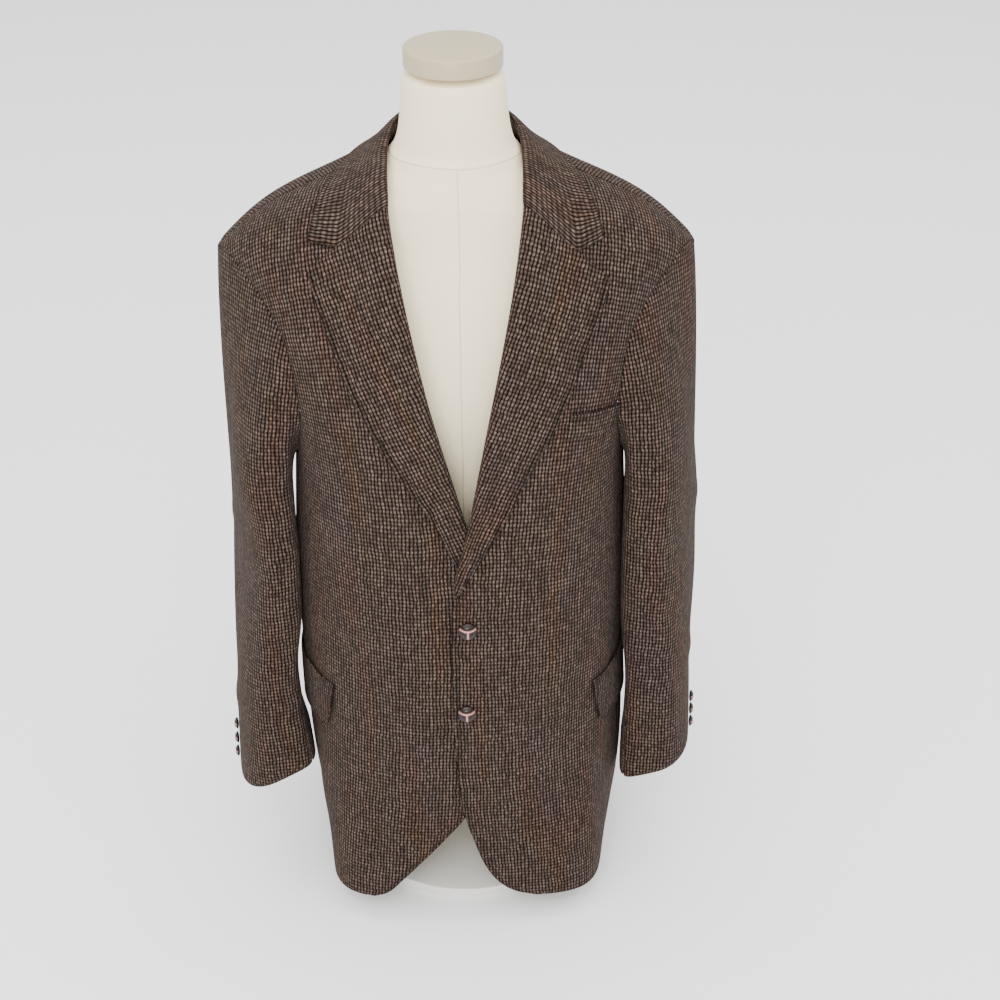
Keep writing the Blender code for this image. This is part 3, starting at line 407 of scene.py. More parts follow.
# The under front sinks beneath the over front: from this girth on, over a short width, and twice as deep from
# the upper button up, until it comes level again part way up the lapel.
TUCK_GIRTH = -0.045
TUCK_WIDTH = 0.035
TUCK_DEEPENS = 0.38
TUCK_DEEP = 0.43
TUCK_EASES = 0.55
TUCK_LEVEL = 0.65


def tuck(side, girth, climb):
    """How far the under front sinks beneath the over front."""
    if side > 0:
        return 0.0
    depth = (CLOTH + LAYER_GAP) * (1 + ease((climb - TUCK_DEEPENS) / (TUCK_DEEP - TUCK_DEEPENS)))
    level = ease((climb - TUCK_EASES) / (TUCK_LEVEL - TUCK_EASES))
    return -depth * ease((girth - TUCK_GIRTH) / TUCK_WIDTH) * (1 - level)


def halved(values):
    """A list of rising or falling values with one more halfway between each pair."""
    out = [values[0]]
    for one, two in zip(values, values[1:]):
        out += [(one + two) / 2, two]
    return out


# The tweed: two dark and two pale threads in turn each way, so small pale squares stand on a dark ground.
CHECK_ACROSS = 0.00375
CHECK_ALONG = 0.00464
PALE = (0.112, 0.083, 0.069)
MIDDLE = (0.026, 0.0160, 0.0118)
DARK = (0.0036, 0.0012, 0.0007)
RUST = (1.09, 0.95, 0.89)
HEATHER = (0.97, 0.97, 1.07)
MOSS = (1.00, 1.02, 0.91)
PAINTED_EDGE_SHADE = 0.62  # how much painted shade darkens a stitched line and a turned edge
SLOW_WANDER = 0.0036  # how far the threads drift over a hand's width, side to side
SHORT_WANDER = 0.0019  # how far they drift from one check to the next
DULLEST_CHECK = 0.34  # the faintest and the brightest of the pale squares
CHECK_SPREAD = 0.80


class Nodes:
    """A node tree with short ways to add a node and join it up."""

    def __init__(self, tree):
        self.tree = tree

    def add(self, kind, inputs=(), **settings):
        node = self.tree.nodes.new(kind)
        for name, value in settings.items():
            setattr(node, name, value)
        for socket, value in dict(inputs).items():
            if isinstance(value, bpy.types.NodeSocket):
                self.tree.links.new(value, node.inputs[socket])
            else:
                node.inputs[socket].default_value = value
        return node

    def math(self, operation, *values, clamp=False):
        return self.add("ShaderNodeMath", enumerate(values), operation=operation, use_clamp=clamp).outputs[0]

    def blend(self, share, one, two, how="MIX"):
        node = self.add("ShaderNodeMix", {0: share}, data_type="RGBA", blend_type=how)
        for socket, value in ((6, one), (7, two)):
            if isinstance(value, bpy.types.NodeSocket):
                self.tree.links.new(value, node.inputs[socket])
            else:
                node.inputs[socket].default_value = (*value, 1.0)
        return node.outputs[2]

    def noise(self, where, scale, detail=2.0, rough=0.5):
        node = self.add(
            "ShaderNodeTexNoise",
            {"Vector": where, "Scale": scale, "Detail": detail, "Roughness": rough},
            noise_dimensions="2D",
        )
        return node.outputs["Fac"]

    def stretched(self, where, across, along):
        return self.add("ShaderNodeMapping", {"Vector": where, "Scale": (across, along, 1.0)}).outputs[0]

    def between(self, value, low, high):
        """value as a share of the way from low to high, smooth at both ends."""
        return self.add(
            "ShaderNodeMapRange", {0: value, 1: low, 2: high}, interpolation_type="SMOOTHSTEP"
        ).outputs[0]

    def shaded(self, colour, level):
        """A colour multiplied by a grey level."""
        grey = self.add("ShaderNodeCombineColor", {0: level, 1: level, 2: level}).outputs[0]
        return self.blend(1.0, colour, grey, "MULTIPLY")


def new_material(name):
    """A material, the short ways into its nodes, and its shader."""
    made = bpy.data.materials.new(name)
    made.use_nodes = True
    return made, Nodes(made.node_tree), made.node_tree.nodes["Principled BSDF"]


def shader_group(name, inputs, outputs):
    """An empty node group, its input socket's node and its output node."""
    group = bpy.data.node_groups.new(name, "ShaderNodeTree")
    for label, kind in inputs:
        group.interface.new_socket(label, in_out="INPUT", socket_type=kind)
    for label, kind in outputs:
        group.interface.new_socket(label, in_out="OUTPUT", socket_type=kind)
    tree = Nodes(group)
    return group, tree, tree.add("NodeGroupInput"), tree.add("NodeGroupOutput")


def make_tweed_weave():
    """The weave's colour and height from the flat cloth's coordinates, in metres."""
    group, tree, given, out = shader_group(
        "tweed weave",
        (("Cloth", "NodeSocketVector"),),
        (("Colour", "NodeSocketColor"), ("Height", "NodeSocketFloat")),
    )
    flat = given.outputs["Cloth"]
    place = flat
    for scale, reach in ((26.0, SLOW_WANDER), (170.0, SHORT_WANDER)):
        drift = tree.add(
            "ShaderNodeTexNoise", {"Vector": flat, "Scale": scale, "Detail": 1.0}, noise_dimensions="2D"
        ).outputs["Color"]
        shift = tree.add(
            "ShaderNodeVectorMath", {0: drift, 1: (0.5, 0.5, 0.5)}, operation="SUBTRACT"
        ).outputs[0]
        shift = tree.add("ShaderNodeVectorMath", {0: shift, "Scale": reach}, operation="SCALE").outputs[0]
        place = tree.add("ShaderNodeVectorMath", {0: place, 1: shift}, operation="ADD").outputs[0]
    split = tree.add("ShaderNodeSeparateXYZ", {0: place})
    warp = tree.math("MULTIPLY", split.outputs[0], 1 / CHECK_ACROSS)
    weft = tree.math("MULTIPLY", split.outputs[1], 1 / CHECK_ALONG)
    full_turn = 2 * math.pi
    warp_wave = tree.math("COSINE", tree.math("MULTIPLY", warp, full_turn))
    weft_wave = tree.math("COSINE", tree.math("MULTIPLY", weft, full_turn))
    warp_pale = tree.between(warp_wave, -0.75, 0.60)
    weft_pale = tree.between(weft_wave, -0.80, 0.75)
    both = tree.math("MULTIPLY", warp_pale, tree.math("ADD", 0.26, tree.math("MULTIPLY", weft_pale, 0.74)))
    cell = tree.add(
        "ShaderNodeCombineXYZ", {0: tree.math("FLOOR", tree.math("ADD", warp, 0.5)),
                                 1: tree.math("FLOOR", tree.math("ADD", weft, 0.5))}
    ).outputs[0]
    thread = tree.add("ShaderNodeTexWhiteNoise", {"Vector": cell}, noise_dimensions="2D").outputs["Value"]
    some = tree.math("ADD", tree.math("MULTIPLY", warp_pale, 0.72), tree.math("MULTIPLY", weft_pale, 0.26))
    ground = tree.blend(tree.math("MINIMUM", some, 1.0), DARK, MIDDLE)
    brightness = tree.math("ADD", DULLEST_CHECK, tree.math("MULTIPLY", thread, CHECK_SPREAD))
    strength = tree.math("MULTIPLY", both, brightness, clamp=True)
    check = tree.blend(strength, ground, PALE)
    uneven = tree.noise(tree.stretched(flat, 150.0, 22.0), 1.0, 3.0, 0.6)
    bright = tree.math("ADD", 0.55, tree.math("MULTIPLY", uneven, 0.90))
    check = tree.shaded(check, bright)
    for tint, across, along, low, high in (
        (RUST, 32.0, 6.0, 0.48, 0.70),
        (HEATHER, 27.0, 5.0, 0.48, 0.70),
        (MOSS, 36.0, 7.0, 0.50, 0.72),
        (RUST, 420.0, 60.0, 0.60, 0.72),
    ):
        moved = tree.add(
            "ShaderNodeMapping", {"Vector": flat, "Location": tint, "Scale": (across, along, 1.0)}
        )
        streak = tree.between(tree.noise(moved.outputs[0], 1.0, 2.0, 0.5), low, high)
        check = tree.blend(streak, check, tree.blend(1.0, check, tint, "MULTIPLY"))
    fibres = tree.noise(tree.stretched(flat, 2600.0, 1900.0), 1.0, 3.0, 0.65)
    lint = tree.math("ADD", 0.70, tree.math("MULTIPLY", fibres, 0.60))
    check = tree.shaded(check, lint)
    ends = tree.math("ABSOLUTE", tree.math("SINE", tree.math("MULTIPLY", warp, full_turn)))
    picks = tree.math("ABSOLUTE", tree.math("SINE", tree.math("MULTIPLY", weft, full_turn)))
    over = tree.between(tree.math("MULTIPLY", warp_wave, weft_wave), -0.25, 0.25)
    crown = tree.add("ShaderNodeMix", {0: over, 2: picks, 3: ends}).outputs[0]
    height = tree.math("ADD", tree.math("MULTIPLY", crown, 0.7), tree.math("MULTIPLY", fibres, 0.5))
    tree.tree.links.new(check, out.inputs["Colour"])
    tree.tree.links.new(height, out.inputs["Height"])
    return group


weave = make_tweed_weave()


def make_tweed(name):
    """Rough wool with a soft nap that catches a little light at grazing angles."""
    made, tree, shader = new_material(name)
    flat = tree.add("ShaderNodeUVMap", uv_map="cloth").outputs["UV"]
    cloth = tree.add("ShaderNodeGroup", node_tree=weave)
    made.node_tree.links.new(flat, cloth.inputs["Cloth"])
    # painted shade: the colour is darkened along stitched lines and turned edges to stand for their shadow
    painted_edge_shade = tree.add("ShaderNodeAttribute", attribute_name="painted_edge_shade").outputs["Fac"]
    shade = tree.math("SUBTRACT", 1.0, tree.math("MULTIPLY", painted_edge_shade, PAINTED_EDGE_SHADE), clamp=True)
    colour = tree.shaded(cloth.outputs["Colour"], shade)
    made.node_tree.links.new(colour, shader.inputs["Base Color"])
    bump = tree.add(
        "ShaderNodeBump", {"Strength": 0.55, "Distance": 0.0006, "Height": cloth.outputs["Height"]}
    )
    made.node_tree.links.new(bump.outputs["Normal"], shader.inputs["Normal"])
    shader.inputs["Roughness"].default_value = 0.92
    shader.inputs["Specular IOR Level"].default_value = 0.06
    shader.inputs["Sheen Weight"].default_value = 0.03
    shader.inputs["Sheen Roughness"].default_value = 0.55
    shader.inputs["Sheen Tint"].default_value = (0.80, 0.72, 0.66, 1.0)
    return made


tweed = make_tweed("tweed")


def deselect():
    if bpy.context.mode != "OBJECT":
        bpy.ops.object.mode_set(mode="OBJECT")
    bpy.ops.object.select_all(action="DESELECT")


def apply_modifier(piece, kind, **settings):
    added = piece.modifiers.new(kind.lower(), kind)
    for name, value in settings.items():
        setattr(added, name, value)
    bpy.context.view_layer.objects.active = piece
    bpy.ops.object.modifier_apply(modifier=added.name)


def read(items, what, width=1, kind=float):
    """One property of every item in a mesh's list: a number each, or a row of numbers each."""
    found = np.zeros(len(items) * width, kind)
    items.foreach_get(what, found)
    return found if width == 1 else found.reshape(-1, width)


def mark(mesh, name, kind, values):
    """Keeps a number for every vertex of a mesh, under a name."""
    mesh.attributes.new(name, kind, "POINT").data.foreach_set("value", values)


def flatten_pattern(piece):
    """Unwraps the cloth: each vertex's flat and solid place, each corner's vertex, and the layer kept in."""
    mesh = piece.data
    bpy.ops.object.mode_set(mode="EDIT")
    bpy.ops.mesh.select_all(action="SELECT")
    bpy.ops.uv.unwrap(method="MINIMUM_STRETCH", iterations=40, margin=0.0)
    bpy.ops.object.mode_set(mode="OBJECT")
    layer = mesh.uv_layers.active
    layer.name = "cloth"
    corner = read(mesh.loops, "vertex_index", kind=int)
    points = read(mesh.vertices, "co", 3)
    spots = np.zeros((len(points), 2))
    spots[corner] = read(layer.data, "uv", 2)
    return spots, points, corner, layer


def straight_cut(solid):
    """The flat places of a strip cut straight: its length goes across the cloth and its width up it."""
    length = np.linalg.norm(np.diff(solid, axis=0), axis=2).mean(axis=1)
    width = np.linalg.norm(np.diff(solid, axis=1), axis=2).mean(axis=0)
    run, climb = np.append(0.0, np.cumsum(length)), np.append(0.0, np.cumsum(width))
    return np.stack(np.meshgrid(run, -climb, indexing="ij"), axis=2)


def lay_pattern(piece, rows, columns, turn, foot, straight):
    """Gives the cloth coordinates in metres: the warp follows the rows' way up, turned by some degrees."""
    spots, points, corner, layer = flatten_pattern(piece)
    grid = order_of(piece, rows, columns)
    flat, solid = spots[grid], points[grid]
    lengths = np.linalg.norm(np.diff(solid, axis=0), axis=2), np.linalg.norm(np.diff(flat, axis=0), axis=2)
    widths = np.linalg.norm(np.diff(solid, axis=1), axis=2), np.linalg.norm(np.diff(flat, axis=1), axis=2)
    scale = (lengths[0].sum() + widths[0].sum()) / (lengths[1].sum() + widths[1].sum())
    flat = flat * scale
    up = np.diff(flat, axis=0).sum(axis=(0, 1))
    angle = math.pi / 2 - math.atan2(up[1], up[0]) + math.radians(turn)
    spin = np.array([[math.cos(angle), math.sin(angle)], [-math.sin(angle), math.cos(angle)]])
    flat = flat @ spin
    across = np.diff(flat, axis=1).sum(axis=(0, 1))[0]
    if across * foot[2] < 0:
        flat[..., 0] *= -1
    flat -= flat[0, columns // 2]
    flat += np.array(foot[:2])
    if straight:
        flat = straight_cut(solid)
    placed = np.zeros((len(points), 2))
    placed[grid.ravel()] = flat.reshape(-1, 2)
    layer.data.foreach_set("uv", placed[corner].ravel())
    low, high = flat.reshape(-1, 2).min(axis=0), flat.reshape(-1, 2).max(axis=0)
    return high - low


def order_of(piece, rows, columns):
    """The vertex numbers of a grid piece as rows and columns, kept when its vertices were placed."""
    numbers = read(piece.data.attributes["grid_place"].data, "value", kind=int)
    out = np.zeros(rows * columns, int)
    out[numbers] = np.arange(len(numbers))
    return out.reshape(rows, columns)


def crease_height(u, v, creases):
    """How far soft creases lift or sink the cloth at places on its flat cut."""
    total = np.zeros(len(u))
    for place_u, place_v, lean, half_length, half_width, depth in creases:
        lean = math.radians(lean)
        along = ((v - place_v) * math.cos(lean) + (u - place_u) * math.sin(lean)) / half_length
        aside = ((u - place_u) * math.cos(lean) - (v - place_v) * math.sin(lean)) / half_width
        total += depth * np.exp(-aside * aside) * np.clip(1 - along * along, 0, None) ** 2
    return total


CREASE_FADE = 0.022  # creases die away over this much cloth beside a seam or an edge


def edge_distance(grid):
    """How far each place of a grid lies from the nearest of its four edges."""
    nearest = np.full(grid.shape[:2], 1.0)
    for lines in (grid, grid.transpose(1, 0, 2)):
        steps = np.linalg.norm(np.diff(lines, axis=0), axis=2)
        start = np.concatenate([np.zeros((1, lines.shape[1])), np.cumsum(steps, axis=0)])
        inset = np.minimum(start, start[-1] - start)
        nearest = np.minimum(nearest, inset if lines is grid else inset.T)
    return nearest


def press_creases(piece, creases, foot):
    """Moves a cloth in and out by its creases, which are placed on its flat cut."""
    mesh = piece.data
    points, normals = read(mesh.vertices, "co", 3), read(mesh.vertices, "normal", 3)
    spots = np.zeros((len(points), 2))
    spots[read(mesh.loops, "vertex_index", kind=int)] = read(mesh.uv_layers["cloth"].data, "uv", 2)
    share = np.clip(read(mesh.attributes["inset"].data, "value") / CREASE_FADE, 0.0, 1.0)
    lift = crease_height(spots[:, 0] - foot[0], spots[:, 1] - foot[1], creases)
    lift = lift * share * share * (3 - 2 * share)
    mesh.attributes.remove(mesh.attributes["inset"])
    moved = points + normals * lift[:, None]
    mesh.vertices.foreach_set("co", moved.ravel())
    mesh.update()


STITCH_IN = 0.0050  # from a finished edge to its line of stitches
STITCH_SHADE_WIDTH = 0.0009  # how wide the painted shade along a stitched line is
TURNED_SHADE_WIDTH = 0.0011  # and that of the painted shade along a turned edge, which is fainter
TURNED_SHADE_SHARE = 0.7


def painted_edge_shading(grid, edges):
    """How much painted shade each place of a grid gets along the stitching and the turned fold of its
    finished edges.
    """
    painted_shade = np.zeros(grid.shape[:2])
    for edge in edges:
        lines = {
            "first row": grid, "last row": grid[::-1],
            "first column": grid.transpose(1, 0, 2), "last column": grid[:, ::-1].transpose(1, 0, 2),
        }[edge]
        steps = np.linalg.norm(np.diff(lines, axis=0), axis=2)
        inset = np.concatenate([np.zeros((1, lines.shape[1])), np.cumsum(steps, axis=0)])
        # painted shade along the line of stitches and, fainter, along the turned fold
        stitched = np.exp(-(((inset - STITCH_IN) / STITCH_SHADE_WIDTH) ** 2))
        turned = TURNED_SHADE_SHARE * np.exp(-((inset / TURNED_SHADE_WIDTH) ** 2))
        found = np.maximum(stitched, turned)
        found = {
            "first row": found, "last row": found[::-1],
            "first column": found.T, "last column": found[::-1].T,
        }[edge]
        painted_shade = np.maximum(painted_shade, found)
    return painted_shade


def lay_cloth(
    name, grid, replaced, turn=0.0, foot=(0.0, 0.0, 1.0), creases=(), straight=False, edges=()
):
    """A shell of cloth laid through a grid of points, sewn into the jacket in place of its plain solid."""
    grid = np.array(grid) + np.array([0.0, 0.0, HEM_HEIGHT])
    rows, columns = grid.shape[:2]
    deselect()
    bpy.ops.mesh.primitive_grid_add(x_subdivisions=columns - 1, y_subdivisions=rows - 1, size=1.0)
    piece = bpy.context.object
    piece.name = name
    piece.data.name = name
    start = read(piece.data.vertices, "co", 3) + 0.5
    column = np.rint(start[:, 0] * (columns - 1)).astype(int)
    row = np.rint(start[:, 1] * (rows - 1)).astype(int)
    mark(piece.data, "grid_place", "INT", row * columns + column)
    mark(piece.data, "inset", "FLOAT", edge_distance(grid)[row, column].astype(np.float32))
    # the painted shade of stitched lines and turned edges, for the material
    mark(piece.data, "painted_edge_shade", "FLOAT", painted_edge_shading(grid, edges)[row, column].astype(np.float32))
    piece.data.vertices.foreach_set("co", grid[row, column].ravel())
    piece.data.update()
    middle = grid.mean(axis=(0, 1))
    if "sleeve" not in replaced[0]:
        middle[:2] = 0.0  # every piece but a sleeve wraps round the form's own axis
    middle = Vector(middle)
    facing = sum((face.center - middle).dot(face.normal) * face.area for face in piece.data.polygons)
    if facing < 0:
        bpy.ops.object.mode_set(mode="EDIT")
        bpy.ops.mesh.select_all(action="SELECT")
        bpy.ops.mesh.flip_normals()
        bpy.ops.object.mode_set(mode="OBJECT")
    size = lay_pattern(piece, rows, columns, turn, foot, straight)
    piece.data.attributes.remove(piece.data.attributes["grid_place"])
    apply_modifier(piece, "SUBSURF", levels=1, render_levels=1)
    press_creases(piece, creases, foot)
    apply_modifier(piece, "SOLIDIFY", thickness=SHELL, offset=-1.0, use_even_offset=False)
    apply_modifier(piece, "SUBSURF", levels=1, render_levels=1)
    bpy.ops.object.shade_smooth()
    piece.data.materials.clear()
    piece.data.materials.append(tweed)
    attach(piece, "root")
    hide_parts(*replaced)


EDGE_STEPS = (0.0, 0.0012, 0.0035, 0.0050, 0.0065)
STITCH_STEP = EDGE_STEPS.index(STITCH_IN)
STITCH_SINK = 0.0010
SEAM_SINK = 0.0010
SEAM_EASE = 0.4  # the share of a seam's dip that the next line of cloth takes
# Each panel reaches this much further into its seams.  It adds nothing at the centre back, where the girth
# ends.
SEAM_MEET = 0.0005
PANEL_ROWS = sorted(set(halved(climbs())) | {0.0012, 0.0045})


def panel_grid(inner, outer, side, free_inner=False, seam_shift=0.0, sink=None, steps=12, rows=PANEL_ROWS):
    """The points of a panel between two edges, its seams drawn in and its free edge marked by stitching."""
    grid = []
    for climb in rows:
        start, end = inner(climb) + SEAM_GAP / 2, outer(climb) - SEAM_GAP / 2
        way = math.copysign(1.0, end - start)
        start, end = start - (0.0 if free_inner else way * SEAM_MEET), end + way * SEAM_MEET
        near = [start + way * step for step in EDGE_STEPS]
        far = [end - way * step for step in reversed(EDGE_STEPS)]
        middle = [mix(near[-1], far[0], (k + 1) / (steps + 1)) for k in range(steps)]
        line = near + middle + far
        dips = [0.0] * len(line)
        dips[-1] = -SEAM_SINK
        dips[-2] = -SEAM_SINK * SEAM_EASE
        if free_inner:
            dips[STITCH_STEP] = -STITCH_SINK
        else:
            dips[0] = -SEAM_SINK
            dips[1] = -SEAM_SINK * SEAM_EASE
        part = np.array([0.0, seam_shift if climb >= CROWN else 0.0, 0.0])
        grid.append(
            [
                body_cloth(side * girth, climb, dip + (sink(side * girth, climb) if sink else 0.0)) + part
                for girth, dip in zip(line, dips)
            ]
        )
    return grid


# Soft creases on the flat cut, from the middle of a piece's foot: place across and up, lean in degrees, half
# length, half width and height.
LEFT_FRONT_CREASES = (
    (0.055, 0.30, 8.0, 0.12, 0.016, -0.0032),
    (0.028, 0.14, -6.0, 0.11, 0.018, 0.0030),
    (-0.035, 0.20, 9.0, 0.12, 0.019, -0.0026),
    (0.068, 0.50, 30.0, 0.07, 0.014, -0.0034),
    (0.046, 0.57, 24.0, 0.06, 0.012, 0.0026),
)
RIGHT_FRONT_CREASES = (
    (-0.052, 0.27, -7.0, 0.13, 0.016, -0.0034),
    (-0.020, 0.13, 8.0, 0.11, 0.018, 0.0032),
    (0.022, 0.36, -20.0, 0.09, 0.014, -0.0022),
    (-0.068, 0.49, -30.0, 0.08, 0.014, -0.0036),
    (-0.040, 0.57, -26.0, 0.06, 0.012, 0.0028),
)
SIDE_CREASES = ((0.000, 0.30, 2.0, 0.27, 0.040, 0.0048), (0.018, 0.12, -5.0, 0.10, 0.014, -0.0016))
BACK_CREASES = (
    (0.045, 0.55, 28.0, 0.09, 0.018, -0.0032),
    (0.008, 0.30, -5.0, 0.15, 0.022, 0.0030),
    (-0.036, 0.18, 6.0, 0.13, 0.020, -0.0030),
    (0.042, 0.13, 4.0, 0.11, 0.018, -0.0024),
)

# Where the foot of each panel lies across the cloth, from the centre front.
FRONT_FOOT = 0.10
FLANK_FOOT = 0.28
REAR_FOOT = 0.42

for side, word, layer, creases in (
    (1, "left", "over", LEFT_FRONT_CREASES),
    (-1, "right", "under", RIGHT_FRONT_CREASES),
):
    front = panel_grid(
        lambda c: front_inner(side, c), front_outer, side, True, -SEAM_GAP / 2, lambda g, c: tuck(side, g, c)
    )
    lay_cloth(
        f"front_{word}", front, [f"front_{word}_{layer}"], foot=(side * FRONT_FOOT, 0.0, side),
        creases=creases, edges=("first column",),
    )
    low = [c for c in PANEL_ROWS if c <= UNDERARM]
    flank = panel_grid(lambda c: FRONT_SEAM, lambda c: BACK_SEAM, side, steps=6, rows=low)
    lay_cloth(
        f"side_{word}", flank, [f"side_body_{word}"], foot=(side * FLANK_FOOT, 0.0, side),
        creases=SIDE_CREASES,
    )
    rear = panel_grid(back_outer, back_inner, side, seam_shift=SEAM_GAP / 2)
    lay_cloth(
        f"rear_{word}", rear, [f"back_{word}"], foot=(side * REAR_FOOT, 0.0, side), creases=BACK_CREASES
    )

# ---------------------------------------------------------------- lapels
# The fronts' upper edges fold back into notch lapels, faced with the same tweed.  The fold is soft and rolls;
# the outer edge is turned in and stitched.

# Each lapel, from the break point up to the gorge: where the fold and the outer edge are at each share.
OVER_LAPEL = (
    ("share", "fold_height", "edge_height", "edge_across"),
    (0.00, 0.436, 0.424, -0.006),
    (0.10, 0.470, 0.450, 0.010),
    (0.22, 0.510, 0.478, 0.025),
    (0.36, 0.560, 0.520, 0.047),
    (0.50, 0.612, 0.567, 0.069),
    (0.64, 0.662, 0.610, 0.092),
    (0.78, 0.715, 0.662, 0.115),
    (0.90, 0.765, 0.705, 0.133),
    (0.96, 0.793, 0.732, 0.144),
    (1.00, 0.812, 0.749, 0.1475),
)
UNDER_LAPEL = (
    ("share", "fold_height", "edge_height", "edge_across"),
    (0.00, 0.436, 0.424, -0.012),
    (0.10, 0.470, 0.450, 0.001),
    (0.22, 0.510, 0.478, 0.014),
    (0.36, 0.560, 0.520, 0.031),
    (0.50, 0.612, 0.567, 0.060),
    (0.64, 0.662, 0.612, 0.085),
    (0.78, 0.715, 0.663, 0.109),
    (0.90, 0.765, 0.708, 0.128),
    (0.96, 0.793, 0.740, 0.138),
    (1.00, 0.812, 0.759, 0.143),
)
FOLD_LAP = 0.0034  # how far the fold wraps past the front's own edge
FOLD_RISE = 0.0040  # how far the fold stands off the front
FOLD_CREST = 0.10  # the share of the lapel's width at which it stands highest
FOLD_BREADTH = 0.26
LIP_SINK = 0.0016  # how far the fold's lip turns past the front's face
LIP_HEIGHT = 0.0008
LIP_ROLL = 0.0010
OVER_ROLL = 0.10  # the share up the over lapel by which its fold has rolled open
UNDER_ROLL = 0.475  # the height at which the under lapel's fold starts to roll open
UNDER_ROLL_SPAN = 0.06
GORGE = 0.61  # how far along the lapel's top the collar is sewn to it


def fold_across(side, height):
    return smooth(OVER_FRONT_EDGE if side > 0 else UNDER_FRONT_EDGE, height, "across")


def lapel_spot(side, along, share):
    """Distance from the middle and height of a lapel's point: along goes up it, share out to its edge."""
    lapel = OVER_LAPEL if side > 0 else UNDER_LAPEL
    fold_height, edge_height, edge_across = (smooth(lapel, along, name) for name in lapel[0][1:])
    return mix(fold_across(side, fold_height), edge_across, share), mix(fold_height, edge_height, share)


def fold_swell(share):
    """How far a fold's cloth stands up, by the share of the way from the fold to the edge."""
    return FOLD_RISE * math.exp(-(((share - FOLD_CREST) / FOLD_BREADTH) ** 2))


def lapel_point(side, across, height, lift):
    girth, climb = spot(side * across, height)
    return body_cloth(girth, climb, lift + tuck(side, girth, climb))


def roll(side, along):
    """How far a lapel's fold has rolled open, from 0 at the break point to 1."""
    if side > 0:
        return ease(along / OVER_ROLL)
    _, height = lapel_spot(side, along, 0.0)
    return ease((height - UNDER_ROLL) / UNDER_ROLL_SPAN)


LAPEL_SHARES = (0.0, 0.05, 0.10, 0.17, 0.26, 0.38, 0.52, 0.68, 0.84)
LAPEL_LENGTH = 0.40
TUCKED_UNDER = 0.014  # how far the facing runs on under the collar
LAPEL_TURN = 3.0  # degrees that the facing's warp leans out at the top


def lapel_grid(side):
    alongs = [k / 26 for k in range(26)] + [1 - step / LAPEL_LENGTH for step in reversed(EDGE_STEPS)]
    grid = []
    for along in alongs + [1.0 + TUCKED_UNDER]:
        past = max(along - 1.0, 0.0)
        rolled = roll(side, along)
        fold, height = lapel_spot(side, along, 0.0)
        fold, height = fold_across(side, height + past), height + past
        lip = fold - FOLD_LAP
        line = [
            lapel_point(side, lip + 0.0010, height, -LIP_SINK),
            lapel_point(side, lip, height, -0.0002),
            lapel_point(side, lip + 0.0004, height, LAYER_GAP + 2 * LIP_HEIGHT + LIP_ROLL * rolled),
        ]
        edge, _ = lapel_spot(side, along, 1.0)
        width = max(edge - fold, 0.004)
        shares = list(LAPEL_SHARES)
        last = [max(1 - step / width, 0.86 + 0.02 * k) for k, step in enumerate(reversed(EDGE_STEPS))]
        shares += last
        for k, share in enumerate(shares):
            across, up = lapel_spot(side, along, share)
            beneath = past * ease((GORGE - share) / 0.2) + past * 0.05
            across, up = across + (fold - lapel_spot(side, along, 0.0)[0]) * (1 - share), up + beneath
            rise = LAYER_GAP + fold_swell(share) * rolled - (0.0012 if past else 0.0)
            dip = STITCH_SINK if k == len(shares) - 1 - STITCH_STEP else 0.0
            line.append(lapel_point(side, across, up, rise + CLOTH - dip))
        grid.append(line)
    return grid


for side, word, layer in ((1, "left", "over"), (-1, "right", "under")):
    lay_cloth(
        f"lapel_{word}",
        lapel_grid(side),
        [f"lapel_{word}_{layer}"],
        turn=LAPEL_TURN * side,
        foot=(side * 0.05, 0.0, side),
        edges=("last column",),
    )

# ---------------------------------------------------------------- collar
# A fall that lies over the shoulders and a stand that holds it up behind the neck, cut with the cloth's
# threads along the collar.  Its outer edge and points are stitched like the lapels'.

# The collar, by its share of the way from the centre back to the gorge: the fold and the outer edge in plan,
# and how far the fold stands above the cloth beneath it.
COLLAR_SECTIONS = (
    ("share", "fold_x", "fold_y", "fold_rise", "edge_x", "edge_y"),
    (0.00, 0.000, 0.066, 0.0245, 0.000, 0.089),
    (0.20, 0.028, 0.061, 0.0225, 0.038, 0.085),
    (0.40, 0.051, 0.043, 0.0170, 0.077, 0.064),
    (0.58, 0.0625, 0.014, 0.0105, 0.106, 0.028),
    (0.74, 0.0665, -0.018, 0.0065, 0.124, -0.010),
    (0.88, 0.0680, -0.046, 0.0050, 0.137, -0.051),
    (1.00, 0.0680, -0.070, 0.0045, 0.1430, -0.078),
)
GORGE_RISE = 0.0045  # how far the fold stands up where it meets the lapel
RISE_FADE = 1.5
SHOULDER_SHARE = 0.58
FRONT_BEND = 0.72  # the share from which the collar bends to follow the gorge
COLLAR_TURN = -0.06  # the share past the fold to which the collar turns in
COLLAR_LIP = 0.0012
STAND_REACH = 0.80  # how far towards the gorge the stand reaches
NECK_MIDDLE = 0.012  # how far back the middle of the neck lies
STAND_CREST_IN = 0.2 * CLOTH
STAND_FACE_IN = 0.25 * CLOTH
HALVINGS = 30


